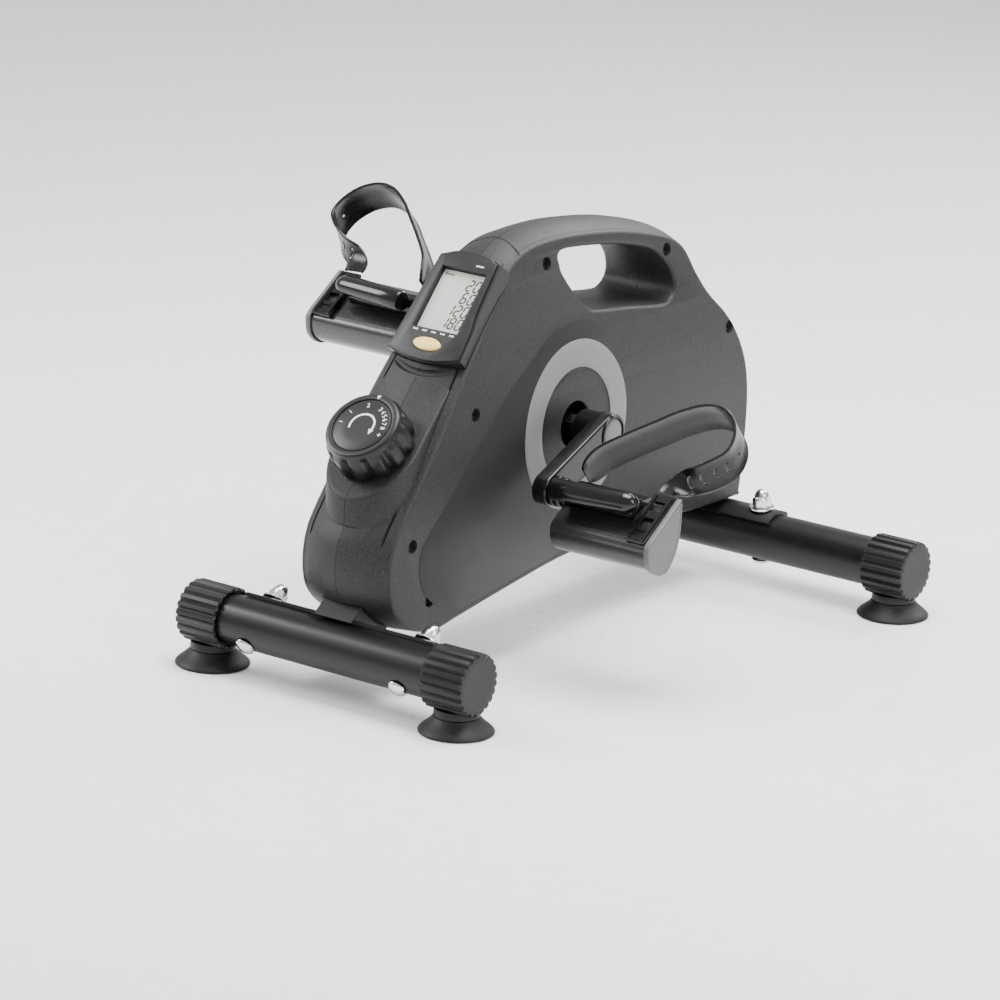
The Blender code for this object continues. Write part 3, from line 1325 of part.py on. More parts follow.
def buckle(side_name, side, axis):
    """Ladder plate with two square openings that holds the strap's tail on the weight's slope."""
    high_x = BLOCK_END_X - GAP
    low_x = high_x - BUCKLE_WIDTH
    low = Vector((0, *WEIGHT_SECTION[0]))
    high = Vector((0, *WEIGHT_SECTION[1]))
    run = (high - low).normalized()
    out = Vector((0, -run.z, run.y))

    def place(a, b, x):
        point = low + run * a + out * b
        return (x, point.y, point.z)

    outline = [(-BUCKLE_OVERHANG, GAP), (BUCKLE_REACH, GAP), (BUCKLE_REACH, GAP + BUCKLE_THICKNESS),
               (-BUCKLE_OVERHANG, GAP + BUCKLE_THICKNESS)]
    plate = add_object(side_name + "_buckle", prism(outline, low_x, high_x, place), "strap_rubber",
                       parent=axis, side=side)
    for index, along in enumerate((0.010, 0.026)):
        window = prism([(along, -0.003), (along + 0.009, -0.003), (along + 0.009, 0.009),
                        (along, 0.009)], low_x + 0.0045, high_x - 0.0045, place)
        window_tool = add_object(tool_name(f"{side_name}_buckle_window_{index}"), window,
                                 "strap_rubber", parent=axis, side=side)
        cut(plate, window_tool)


def strap(side_name, side, axis):
    """Wide moulded strap over the foot, leaning towards the toes."""
    across = Vector((0, -math.sin(STRAP_LEAN), math.cos(STRAP_LEAN)))
    flat = Vector((-1, 0, 0))
    points = [point[:3] for point in STRAP_ROUTE]
    twists = [point[3] for point in STRAP_ROUTE]
    per_span = 3
    path = smooth_path(points, per_span)
    rings = []
    for index, point in enumerate(path):
        span = min(index // per_span, len(twists) - 2)
        share = index / per_span - span
        twist = twists[span] + (twists[span + 1] - twists[span]) * share
        before = path[max(index - 1, 0)]
        after = path[min(index + 1, len(path) - 1)]
        run = (after - before).normalized()
        wide = across.lerp(flat, twist)
        out = run.cross(wide).normalized() * (STRAP_THICKNESS / 2)
        half = (STRAP_WIDTH + (STRAP_TAIL_WIDTH - STRAP_WIDTH) * twist) / 2
        edge = out.cross(run).normalized() * half
        rings.append([point - edge - out, point + edge - out, point + edge + out,
                      point - edge + out])
    add_object(side_name + "_foot_strap", loft(rings), "strap_rubber", parent=axis, side=side)


def build_sensor():
    """Reed switch on the frame that counts the pulley's magnet."""
    x = PULLEY_X - PULLEY_WIDTH / 2
    low = (x + PULLEY_WIDTH + 0.0008, CRANK_Y + 0.032, BEAM_HEIGHT + BEAM_DEPTH / 2 + GAP)
    high = (-0.004, CRANK_Y + 0.048, BEAM_HEIGHT + BEAM_DEPTH / 2 + 0.016)
    add_object("speed_sensor", box(low, high), "cap_plastic")


def main():
    clear_scene()
    front_tube = stabiliser("front", FRONT_Y, FRONT_FOOT_X)
    rear_tube = stabiliser("rear", REAR_Y, REAR_FOOT_X)
    front_saddle = saddle("front_saddle", FRONT_Y, FRONT_LEAN)
    rear_saddle = saddle("rear_saddle", REAR_Y, REAR_LEAN)
    bolt_set("front", FRONT_Y, FRONT_LEAN, front_saddle, front_tube)
    bolt_set("rear", REAR_Y, REAR_LEAN, rear_saddle, rear_tube)
    build_frame()
    housing_half("right_housing", 1)
    housing_half("left_housing", -1)
    build_console()
    build_knob()
    build_drive()
    build_sensor()


main()
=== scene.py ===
# %% [markdown]
# # A pedal exerciser, piece by piece
# The machine stands on the floor in front of a chair: two round tubes on suction feet, a steel
# frame inside a plastic housing, a crank with two pedals, a display and a brake knob.
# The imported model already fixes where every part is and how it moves. This lesson keeps that frame
# and gives each part its real surface: rounded edges, ribs, recesses, moulded grain and paint.

# %% The frame that everything is built round
import math

import bmesh
import bpy
from mathutils import Matrix, Vector


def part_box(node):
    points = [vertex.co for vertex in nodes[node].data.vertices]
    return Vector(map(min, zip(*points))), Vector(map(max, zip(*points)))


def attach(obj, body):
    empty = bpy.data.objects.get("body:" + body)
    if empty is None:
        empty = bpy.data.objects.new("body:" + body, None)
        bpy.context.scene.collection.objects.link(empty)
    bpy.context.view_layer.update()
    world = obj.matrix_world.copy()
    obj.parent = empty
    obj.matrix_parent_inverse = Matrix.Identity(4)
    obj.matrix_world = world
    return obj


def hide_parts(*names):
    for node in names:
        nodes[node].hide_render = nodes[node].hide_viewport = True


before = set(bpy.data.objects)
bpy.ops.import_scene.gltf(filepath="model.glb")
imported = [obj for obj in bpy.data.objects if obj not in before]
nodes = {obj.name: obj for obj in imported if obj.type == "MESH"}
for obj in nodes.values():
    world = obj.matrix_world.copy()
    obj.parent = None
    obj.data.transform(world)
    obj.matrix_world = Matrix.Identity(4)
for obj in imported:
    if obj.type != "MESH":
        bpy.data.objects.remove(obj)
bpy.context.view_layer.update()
print("nodes:", len(nodes))

# %% [markdown]
# ## Camera
# The machine is seen from its front right, a little from above, with a long lens, so lines that
# run away stay almost parallel. The place is worked out from two angles and a distance, and a
# small roll tips the horizon the way a hand-held camera does.

# %% Camera
VIEW_TURN = math.radians(35.81)
VIEW_RISE = math.radians(16.41)
VIEW_ROLL = math.radians(2.38)
VIEW_DISTANCE = 3.83574
VIEW_TARGET = Vector((-0.00687, -0.01948, 0.10311))
LENS = 182.82

away = Vector((math.sin(VIEW_TURN) * math.cos(VIEW_RISE),
               -math.cos(VIEW_TURN) * math.cos(VIEW_RISE), math.sin(VIEW_RISE)))
sideways = (-away).cross(Vector((0, 0, 1))).normalized()
upwards = sideways.cross(-away)
right = sideways * math.cos(VIEW_ROLL) + upwards * math.sin(VIEW_ROLL)
up = upwards * math.cos(VIEW_ROLL) - sideways * math.sin(VIEW_ROLL)
lens_data = bpy.data.cameras.new("camera")
lens_data.lens = LENS
lens_data.sensor_width = 36
lens_data.clip_end = 30
camera = bpy.data.objects.new("camera", lens_data)
bpy.context.collection.objects.link(camera)
turn = Matrix((right, up, away)).transposed().to_4x4()
camera.matrix_world = Matrix.Translation(VIEW_TARGET + away * VIEW_DISTANCE) @ turn
bpy.context.scene.camera = camera
print("camera", [round(part, 3) for part in camera.matrix_world.translation])

# %% [markdown]
# ## Light and floor
# Black plastic shows its form only through what it reflects. Large soft panels beside and above
# the machine draw long pale bands along the tubes and edges, and a white sky fills the rest.

# %% Soft studio panels
def light_panel(name, place, size, power, aim=(0, 0, 0.12)):
    """Area light at a place, turned to face the machine."""
    data = bpy.data.lights.new(name, "AREA")
    data.shape = "RECTANGLE"
    data.size, data.size_y = size
    data.energy = power
    item = bpy.data.objects.new(name, data)
    item.location = place
    facing = Vector(aim) - Vector(place)
    item.rotation_euler = facing.to_track_quat("-Z", "Y").to_euler()
    bpy.context.collection.objects.link(item)
    return item


light_panel("top_panel", (0.15, 0.05, 1.5), (0.9, 0.9), 44)
light_panel("left_panel", (-1.6, -0.9, 1.2), (0.7, 1.1), 40)
light_panel("right_panel", (1.9, -0.2, 1.15), (0.5, 1.1), 22)
light_panel("back_panel", (0.2, 1.9, 1.5), (1.6, 0.8), 52)

sky = bpy.data.worlds.new("white_sky")
sky.use_nodes = True
sky.node_tree.nodes["Background"].inputs["Color"].default_value = (1, 1, 1, 1)
sky.node_tree.nodes["Background"].inputs["Strength"].default_value = 0.85
bpy.context.scene.world = sky

# %% [markdown]
# ## Writing shader maths as Python
# A node graph is arithmetic in boxes. This small class wraps one socket, so that `1 - mask` or
# `grain * 0.5 + wear` adds the Math nodes by itself. Any other kind of node comes from `node`.

# %% The socket class
class Wire:
    """One output socket. Operators on it add Math nodes; node() adds any other kind."""

    def __init__(self, tree, socket=None):
        self.tree = tree
        self.socket = socket

    def node(self, kind, settings=None, values=None, output=0):
        made = self.tree.nodes.new(kind)
        for name, value in (settings or {}).items():
            if name == "stops":
                while len(made.color_ramp.elements) < len(value):
                    made.color_ramp.elements.new(0.5)
                for element, (place, colour) in zip(made.color_ramp.elements, value):
                    element.position = place
                    element.color = (*colour, 1)
            else:
                setattr(made, name, value)
        for name, value in (values or {}).items():
            if isinstance(value, Wire):
                self.tree.links.new(value.socket, made.inputs[name])
            else:
                made.inputs[name].default_value = value
        return Wire(self.tree, made.outputs[output])

    def maths(self, operation, first, second):
        return self.node("ShaderNodeMath", {"operation": operation}, {0: first, 1: second})

    def __add__(self, other):
        return self.maths("ADD", self, other)

    def __sub__(self, other):
        return self.maths("SUBTRACT", self, other)

    def __rsub__(self, other):
        return self.maths("SUBTRACT", other, self)

    def __mul__(self, other):
        return self.maths("MULTIPLY", self, other)

    __radd__ = __add__
    __rmul__ = __mul__


def shade(amount, dark, light):
    """Colour between dark and light, by an amount from 0 to 1."""
    return amount.node("ShaderNodeMix", {"data_type": "RGBA"},
                       {"Factor": amount, "A": (*dark, 1), "B": (*light, 1)}, output=2)


# %% [markdown]
# ## One recipe for every hard surface
# Moulded plastic, paint, rubber and plated steel differ in colour and gloss, but they are built
# the same way. A fine grain lifts the surface, a slower cloud varies gloss as handling does, and
# sparse hairline marks stand for wear. All of it is solid texture in the object's own space, so
# no unwrapping is needed and the pattern stays on the part when it moves.

# %% Surface recipe
def finish(name, colour, light, gloss, grain, depth, metal=0.0, coat=0.0, pebble=0.0,
           cloud=0.08, wear=0.12, stretch=(1, 1, 1), specular=0.30):
    """Procedural material. gloss is the roughness; grain is the grain's size in metres."""
    made = bpy.data.materials.new(name)
    made.use_nodes = True
    tree = made.node_tree
    shader = tree.nodes["Principled BSDF"]
    start = Wire(tree)
    place = start.node("ShaderNodeTexCoord", output=3)
    spread = place.node("ShaderNodeMapping", values={"Vector": place, "Scale": stretch})
    fine = spread.node("ShaderNodeTexNoise", values={"Vector": spread, "Scale": 1 / grain,
                                                     "Detail": 3.0, "Roughness": 0.6})
    slow = place.node("ShaderNodeTexNoise", values={"Vector": place, "Scale": 14.0,
                                                    "Detail": 2.0})
    line = place.node("ShaderNodeMapping", values={"Vector": place, "Rotation": (0.5, 0.8, 0.3),
                                                   "Scale": (40, 900, 900)})
    hair = line.node("ShaderNodeTexNoise", values={"Vector": line, "Scale": 1.0, "Detail": 1.0})
    mark = hair.node("ShaderNodeValToRGB", {"stops": [(0.66, (0, 0, 0)), (0.74, (1, 1, 1))]},
                     {"Fac": hair})
    speck = fine.node("ShaderNodeValToRGB", {"stops": [(0.42, (0, 0, 0)), (0.72, (1, 1, 1))]},
                      {"Fac": fine})
    tone = speck * 0.75 + slow * 0.25 + mark * (wear * 0.5)
    rough = (slow - 0.5) * cloud + gloss + mark * wear * 0.4 + (speck - 0.5) * 0.05
    height = fine
    if pebble:
        cell = spread.node("ShaderNodeTexVoronoi", values={"Vector": spread,
                                                           "Scale": 1 / (grain * 1.6)})
        height = fine * (1 - pebble) + cell * pebble
    bump = height.node("ShaderNodeBump", values={"Strength": 0.55, "Distance": depth,
                                                 "Height": height})
    links = tree.links
    links.new(shade(tone, colour, light).socket, shader.inputs["Base Color"])
    links.new(rough.socket, shader.inputs["Roughness"])
    links.new(bump.socket, shader.inputs["Normal"])
    shader.inputs["Metallic"].default_value = metal
    shader.inputs["Coat Weight"].default_value = coat
    shader.inputs["Coat Roughness"].default_value = 0.12
    shader.inputs["Specular IOR Level"].default_value = specular
    return made


# %% [markdown]
# ## The finishes of this machine
# Nearly everything is black or charcoal. What tells the pieces apart is gloss and grain: coarse
# spark-eroded grain on the housing, a finer one on its side panel, satin powder paint on steel,
# gloss enamel on the cranks, dull rubber under the feet and bright zinc on the fasteners. The side
# panel's colour is also darker than the housing's, and that darkness is painted shade.

# %% All finishes
FINISHES = {
    "housing_plastic": finish("housing_grain", (0.0060, 0.0058, 0.0060), (0.0330, 0.0320, 0.0325),
                              0.50, 0.00105, 0.00075, pebble=0.35),
    # side panel: a finer, smoother grain, and a darker colour that is painted shade
    "panel_plastic": finish("panel_grain", (0.0070, 0.0068, 0.0070), (0.0180, 0.0176, 0.0180),
                            0.46, 0.00055, 0.00020, pebble=0.3),
    "ring_grey": finish("ring_paint", (0.150, 0.148, 0.158), (0.215, 0.212, 0.222),
                        0.50, 0.0006, 0.00006),
    "tube_paint": finish("tube_powder_paint", (0.0030, 0.0030, 0.0030), (0.0085, 0.0085, 0.0085),
                         0.34, 0.0012, 0.00010, wear=0.2),
    "frame_paint": finish("frame_powder_paint", (0.0040, 0.0040, 0.0040), (0.0110, 0.0110, 0.0110),
                          0.42, 0.0012, 0.00012, wear=0.2),
    "cap_plastic": finish("cap_moulding", (0.0030, 0.0030, 0.0030), (0.0100, 0.0100, 0.0100),
                          0.48, 0.0006, 0.00016, pebble=0.3),
    "foot_rubber": finish("foot_rubber_skin", (0.0035, 0.0035, 0.0035), (0.0110, 0.0110, 0.0110),
                          0.55, 0.0008, 0.00010),
    "zinc": finish("bright_zinc", (0.55, 0.56, 0.58), (0.86, 0.87, 0.88), 0.20, 0.0009,
                   0.00006, metal=1.0, wear=0.3),
    "bright_steel": finish("turned_steel", (0.42, 0.43, 0.44), (0.66, 0.67, 0.68), 0.24,
                           0.0009, 0.00006, metal=1.0, wear=0.3, stretch=(1, 6, 6)),
    "cast_iron": finish("cast_iron_skin", (0.05, 0.05, 0.05), (0.12, 0.12, 0.12), 0.55,
                        0.0015, 0.00030, metal=0.9),
    "crank_paint": finish("crank_enamel", (0.0030, 0.0030, 0.0032), (0.0070, 0.0070, 0.0075), 0.18,
                          0.0030, 0.00010, coat=0.12, cloud=0.05),
    "pedal_gloss": finish("pedal_gloss_plastic", (0.0025, 0.0025, 0.0027), (0.0060, 0.0060, 0.0064),
                          0.20, 0.0020, 0.00008, coat=0.15, cloud=0.06),
    "weight_grey": finish("weight_satin_grey", (0.050, 0.050, 0.052), (0.085, 0.085, 0.088),
                          0.24, 0.0009, 0.00006, metal=0.75, wear=0.25, specular=0.5),
    "plate_grey": finish("end_plate_grey", (0.095, 0.095, 0.097), (0.135, 0.135, 0.138),
                         0.42, 0.0007, 0.00008),
    "strap_rubber": finish("strap_moulding", (0.0025, 0.0025, 0.0025), (0.0070, 0.0070, 0.0070),
                           0.27, 0.0006, 0.00008, wear=0.2),
    "belt_rubber": finish("belt_weave", (0.008, 0.008, 0.008), (0.020, 0.020, 0.020), 0.68,
                          0.0007, 0.00020, pebble=0.6),
    "pulley_plastic": finish("pulley_moulding", (0.030, 0.030, 0.030), (0.060, 0.060, 0.060),
                             0.48, 0.0006, 0.00010),
    "console_plastic": finish("console_moulding", (0.0080, 0.0084, 0.0084), (0.0170, 0.0175, 0.0175),
                              0.40, 0.00045, 0.00010),
    "display_glass": finish("display_film", (0.43, 0.46, 0.41), (0.52, 0.55, 0.50), 0.22,
                            0.0008, 0.00003, wear=0.05),
    "display_ink": finish("display_ink", (0.020, 0.024, 0.020), (0.040, 0.046, 0.040), 0.35,
                          0.0005, 0.00003, wear=0.0),
    "print_white": finish("white_print", (0.70, 0.70, 0.70), (0.86, 0.86, 0.86), 0.5,
                          0.0004, 0.00003, wear=0.05),
    "button_yellow": finish("button_rubber", (0.80, 0.56, 0.14), (0.93, 0.73, 0.28), 0.36,
                            0.0006, 0.00008, wear=0.05),
    "knob_plastic": finish("knob_skirt", (0.0025, 0.0025, 0.0025), (0.0080, 0.0080, 0.0080), 0.32,
                           0.0006, 0.00010),
    "knob_face": finish("knob_face_satin", (0.0110, 0.0110, 0.0110), (0.0210, 0.0210, 0.0210), 0.36,
                        0.0005, 0.00008),
    "dust_cap_grey": finish("dust_cap_moulding", (0.13, 0.13, 0.13), (0.18, 0.18, 0.18), 0.38,
                            0.0006, 0.00008),
    "board_green": finish("board_lacquer", (0.012, 0.10, 0.035), (0.022, 0.17, 0.07), 0.35,
                          0.0015, 0.00015, pebble=0.5),
    "cable_black": finish("cable_sheath", (0.010, 0.010, 0.010), (0.024, 0.024, 0.024), 0.42,
                          0.0007, 0.00008),
    "screw_black": finish("screw_oxide", (0.0020, 0.0020, 0.0020), (0.0050, 0.0050, 0.0050), 0.45,
                          0.0007, 0.00010, metal=0.3),
}
print("finishes:", len(FINISHES))

# %% [markdown]
# The parts that stay as they were packed, such as the frame and the drive inside the housing, get
# the finish whose name their own material slot already carries.

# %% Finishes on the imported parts
for name, node in nodes.items():
    slot_name = node.material_slots[0].material.name.split(".")[0] if node.material_slots else ""
    chosen = FINISHES.get(slot_name, FINISHES["frame_paint"])
    for slot in node.material_slots:
        slot.link = "OBJECT"
        slot.material = chosen
print("packed parts with a finish:", len(nodes))

# %% Floor
FLOOR_HALF = 6.0
floor_work = bmesh.new()
bmesh.ops.create_grid(floor_work, x_segments=8, y_segments=8, size=FLOOR_HALF)
floor_mesh = bpy.data.meshes.new("studio_floor")
floor_work.to_mesh(floor_mesh)
floor_work.free()
floor_mesh.materials.append(finish("floor_white", (0.92, 0.92, 0.92), (0.95, 0.95, 0.95), 0.30,
                                   0.02, 0.0, wear=0.0, cloud=0.02))
studio_floor = bpy.data.objects.new("studio_floor", floor_mesh)
studio_floor.location = (0, 0, -0.0004)
bpy.context.collection.objects.link(studio_floor)
print("floor", 2 * FLOOR_HALF, "m square")

# %% [markdown]
# ## Tools for building shapes
# Every piece is one closed skin made from rings of points: a loft for long forms, a turning for
# round ones. Holes are cut with exact Booleans, and the result is kept as a plain mesh.

# %% Points on lines and curves
def flowing(points, per_span, closed=False):
    """Catmull-Rom curve through the points."""
    count = len(points)
    spots = [Vector(point) for point in points]
    path = []
    for span in range(count if closed else count - 1):
        if closed:
            a, b, c, d = (spots[(span + offset) % count] for offset in (-1, 0, 1, 2))
        else:
            a, b = spots[max(span - 1, 0)], spots[span]
            c, d = spots[span + 1], spots[min(span + 2, count - 1)]
        for step in range(per_span):
            t = step / per_span
            path.append(0.5 * (2 * b + (c - a) * t + (2 * a - 5 * b + 4 * c - d) * t ** 2
                               + (3 * b - a - 3 * c + d) * t ** 3))
    return path if closed else path + [spots[-1]]


def arc(centre, radius, start, end, steps):
    turns = (start + (end - start) * step / steps for step in range(steps + 1))
    return [(centre[0] + radius * math.cos(t), centre[1] + radius * math.sin(t)) for t in turns]


def inward(points, distance):
    """Move each point of a closed outline inwards. distance is one number or one per point."""
    count = len(points)
    area = sum(points[i - 1][0] * points[i][1] - points[i][0] * points[i - 1][1]
               for i in range(count))
    way = 1 if area > 0 else -1
    moved = []
    for index in range(count):
        before, here = Vector(points[index - 1]), Vector(points[index])
        after = Vector(points[(index + 1) % count])
        first, second = (here - before).normalized(), (after - here).normalized()
        normal = Vector((-(first.y + second.y), first.x + second.x)).normalized()
        stretch = max(normal.dot(Vector((-first.y, first.x))), 0.5)
        far = distance[index] if isinstance(distance, list) else distance
        moved.append(tuple(here + normal * (way * far / stretch)))
    return moved


# %% Skins: loft, turning and prism
def bridge(work, first, second):
    count = max(len(first), len(second))
    for step in range(count):
        after = (step + 1) % count
        corners = [first[step % len(first)], first[after % len(first)],
                   second[after % len(second)], second[step % len(second)]]
        unique = list(dict.fromkeys(corners))
        if len(unique) > 2:
            work.faces.new(unique)


def loft(rings, closed=False):
    work = bmesh.new()
    made = [[work.verts.new(point) for point in ring] for ring in rings]
    for first, second in zip(made, made[1:]):
        bridge(work, first, second)
    if closed:
        bridge(work, made[-1], made[0])
    else:
        for ring in (made[0], made[-1]):
            if len(ring) > 2:
                work.faces.new(ring)
    bmesh.ops.recalc_face_normals(work, faces=work.faces)
    return work


TURNS = {"X": Matrix.Identity(3), "Y": Matrix.Rotation(math.pi / 2, 3, "Z"),
         "Z": Matrix.Rotation(-math.pi / 2, 3, "Y")}


def turned(profile, axis="X", segments=72):
    """Turning about an axis from (radius, distance along). Ends on the axis make it solid."""
    rings = []
    for radius, along in profile:
        if radius < 1e-6:
            rings.append([(along, 0, 0)])
        else:
            rings.append([(along, y, z)
                          for y, z in arc((0, 0), radius, 0, 2 * math.pi, segments)[:-1]])
    work = loft(rings, closed=profile[0][0] > 1e-6)
    bmesh.ops.rotate(work, cent=(0, 0, 0), matrix=TURNS[axis], verts=work.verts)
    return work


def prism(outline, start, end, place):
    return loft([[place(a, b, start) for a, b in outline],
                 [place(a, b, end) for a, b in outline]])


def from_side(y, z, x):
    return (x, y, z)


def softened(profile, reach):
    """Round each corner of an open profile with three points."""
    smooth = [profile[0]]
    for before, here, after in zip(profile, profile[1:], profile[2:]):
        spot, back, on = Vector(here), Vector(before) - Vector(here), Vector(after) - Vector(here)
        cut = min(reach, back.length * 0.45, on.length * 0.45)
        start, end = spot + back.normalized() * cut, spot + on.normalized() * cut
        for t in (0, 0.33, 0.67, 1):
            smooth.append(tuple(start * (1 - t) ** 2 + spot * 2 * t * (1 - t) + end * t ** 2))
    return smooth + [profile[-1]]


# %% Pieces and cutters
def mesh_object(name, work, side=1, place=None):
    """Mesh object from a bmesh, moved by place (a matrix or a point) and mirrored for side -1."""
    if place is not None:
        matrix = place if isinstance(place, Matrix) else Matrix.Translation(Vector(place))
        bmesh.ops.transform(work, matrix=matrix, verts=work.verts)
    if side < 0:
        bmesh.ops.scale(work, vec=(-1, 1, 1), verts=work.verts)
        bmesh.ops.reverse_faces(work, faces=work.faces)
    mesh = bpy.data.meshes.new(name)
    work.to_mesh(mesh)
    work.free()
    item = bpy.data.objects.new(name, mesh)
    bpy.context.collection.objects.link(item)
    return item


def combine(item, tools, operation="DIFFERENCE"):
    """Cut or join tools one by one with exact Booleans, and keep the plain mesh."""
    for tool in tools:
        step = item.modifiers.new("step", "BOOLEAN")
        step.operation, step.object, step.solver = operation, tool, "EXACT"
        step.use_self = item.name.endswith("_shell")
        graph = bpy.context.evaluated_depsgraph_get()
        made = bpy.data.meshes.new_from_object(item.evaluated_get(graph))
        item.modifiers.clear()
        work = bmesh.new()
        work.from_mesh(made)
        bmesh.ops.remove_doubles(work, verts=work.verts, dist=3e-6)
        bmesh.ops.dissolve_degenerate(work, edges=work.edges, dist=2e-6)
        work.to_mesh(made)
        work.free()
        old, item.data = item.data, made
        bpy.data.meshes.remove(old)
        bpy.data.objects.remove(tool)
    return item


made_pieces = []


def keep(item, finish_name, body, *replaced, sharp=38):
    """Shade a finished piece, give it its finish, and let it ride on its body."""
    item.data.materials.clear()
    item.data.materials.append(FINISHES[finish_name])
    item.data.polygons.foreach_set("material_index", [0] * len(item.data.polygons))
    item.data.shade_smooth()
    item.data.set_sharp_from_angle(angle=math.radians(sharp))
    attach(item, body)
    if replaced:
        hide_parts(*replaced)
    made_pieces.append(item)
    return item


print("building tools ready")

# %% [markdown]
# ## Stabiliser tubes
# Two steel tubes across the floor keep the machine from tipping. A drawn tube has a small rounded
# edge at each end, which catches the light, and satin black powder paint.

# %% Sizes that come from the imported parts
def middle(node):
    low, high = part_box(node)
    return (low + high) / 2


SIDES = ((1, "right"), (-1, "left"))
GAP = 0.0003                    # clearance between two pieces that touch
FRONT_Y = middle("front_tube").y
REAR_Y = middle("rear_tube").y
TUBES = (("front", FRONT_Y), ("rear", REAR_Y))
TUBE_Z = middle("front_tube").z
TUBE_RADIUS = (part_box("front_tube")[1].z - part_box("front_tube")[0].z) / 2
CRANK = middle("crank_axle")
print("tubes at", round(FRONT_Y, 4), round(REAR_Y, 4), "radius", round(TUBE_RADIUS, 4))
print("crank axis", [round(part, 4) for part in CRANK])

# %% Tubes
TUBE_WALL = 0.0018
TUBE_EDGE = 0.0005              # broken edge at each end

for label, tube_y in TUBES:
    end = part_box(label + "_tube")[1].x
    hollow = TUBE_RADIUS - TUBE_WALL
    edge = TUBE_EDGE
    profile = [(TUBE_RADIUS, 0), (TUBE_RADIUS, end - edge), (TUBE_RADIUS - edge, end),
               (hollow, end), (hollow, -end), (TUBE_RADIUS - edge, -end),
               (TUBE_RADIUS, -end + edge)]
    tube = mesh_object(label + "_stabiliser_tube", turned(profile, segments=96),
                       place=(0, tube_y, TUBE_Z))
    keep(tube, "tube_paint", "base", label + "_tube")

# %% [markdown]
# ## Ribbed end caps
# A moulded sleeve is pushed over each tube end. Its ribs are a grip and a decoration: a broad
# rounded land, then a narrow valley. The outer face is flat with a broken edge, and the neck
# below holds the suction foot.

# %% End caps
CAP_WALL = 0.0045
CAP_RADIUS = TUBE_RADIUS + CAP_WALL
CAP_FACE = 0.0077               # thickness of the cap's closed end
RIBS = 22
RIB_STEPS = 10
RIB_DEPTH = 0.0019
VALLEY_SHARE = 0.26             # half of a valley's width, as a share of one rib
NECK_RADIUS = 0.0172
NECK_LOW = 0.0123


def rib_ring(x, radius, depth):
    ring = []
    for step in range(RIBS * RIB_STEPS):
        turn = 2 * math.pi * step / (RIBS * RIB_STEPS)
        phase = (step % RIB_STEPS) / RIB_STEPS
        valley = max(0.0, 1 - (min(phase, 1 - phase) / VALLEY_SHARE) ** 2)
        reach = radius - depth * valley
        ring.append((x, reach * math.cos(turn), reach * math.sin(turn)))
    return ring


def end_cap(base, side, tube_y):
    low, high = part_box(base + "_end_cap")
    outer, inner = (high.x, low.x) if side > 0 else (-low.x, -high.x)
    rings = [rib_ring(inner, CAP_RADIUS - 0.0007, RIB_DEPTH),
             rib_ring(inner + 0.0007, CAP_RADIUS, RIB_DEPTH)]
    rings += [rib_ring(outer - 0.0022, CAP_RADIUS, RIB_DEPTH),
              rib_ring(outer - 0.0009, CAP_RADIUS - 0.0004, RIB_DEPTH),
              rib_ring(outer - 0.0002, CAP_RADIUS - 0.0013, RIB_DEPTH * 0.85),
              rib_ring(outer, CAP_RADIUS - 0.0026, RIB_DEPTH * 0.4),
              rib_ring(outer - 0.0001, CAP_RADIUS - 0.0075, 0)]
    cap = mesh_object(base + "_ribbed_cap", loft(rings), side, (0, tube_y, TUBE_Z))
    foot_x = (outer + inner) / 2
    neck_top = TUBE_Z - 0.020
    neck = turned(softened([(0, NECK_LOW), (NECK_RADIUS, NECK_LOW),
                            (NECK_RADIUS - 0.0004, neck_top), (0, neck_top)], 0.0006), "Z", 64)
    combine(cap, [mesh_object("neck", neck, side, (foot_x, tube_y, 0))], "UNION")
    mouth = TUBE_RADIUS + 0.0022
    snug = TUBE_RADIUS + GAP
    bore = turned([(0, inner - 0.001), (mouth, inner - 0.001), (mouth, inner + 0.003),
                   (snug, inner + 0.003), (snug, outer - CAP_FACE), (0, outer - CAP_FACE)],
                  segments=64)
    socket = turned([(0, 0.011), (0.0063, 0.011), (0.0063, 0.0186), (0, 0.0186)], "Z", 32)
    combine(cap, [mesh_object("bore", bore, side, (0, tube_y, TUBE_Z)),
                  mesh_object("socket", socket, side, (foot_x, tube_y, 0))])
    return keep(cap, "cap_plastic", "base", base + "_end_cap", sharp=30)


# %% [markdown]
# ## Suction feet
# Each foot is a soft rubber bell: a short stem in the cap, a waist, and a wide thin skirt that
# spreads on the floor, hollow underneath so that it grips like a suction cup.

# %% Suction feet
def suction_foot(base, side, tube_y):
    x = middle(base + "_suction_foot").x
    skirt = [Vector(point) for point in ((0.0172, 0.0118), (0.0188, 0.0096), (0.0222, 0.0064),
                                         (0.0256, 0.0037), (0.0276, 0.0017))]
    profile = [(0, 0.0175), (0.0054, 0.0175), (0.006, 0.0168), (0.006, 0.012), (0.0166, 0.012)]
    profile += [tuple(point) for point in flowing(skirt, 4)]
    profile += [(0.028, 0.0010), (0.0279, 0.0003), (0.0274, 0.0), (0.0248, 0.0),
                (0.0205, 0.0020), (0.016, 0.0036), (0.008, 0.0050), (0, 0.0055)]
    foot = mesh_object(base + "_foot_cup", turned(profile, "Z", 80), place=(x, tube_y, 0))
    return keep(foot, "foot_rubber", "base", base + "_suction_foot", sharp=50)


for label, tube_y in TUBES:
    for side, side_name in SIDES:
        end_cap(label + "_" + side_name, side, tube_y)
        suction_foot(label + "_" + side_name, side, tube_y)
print("stabiliser pieces:", len(made_pieces))

# %% [markdown]
# ## Bolts, washers and domed nuts
# Each tube is held into its saddle by two coach bolts. The smooth domed head sits under the tube,
# and a bright acorn nut with a bevelled hexagon closes the top.

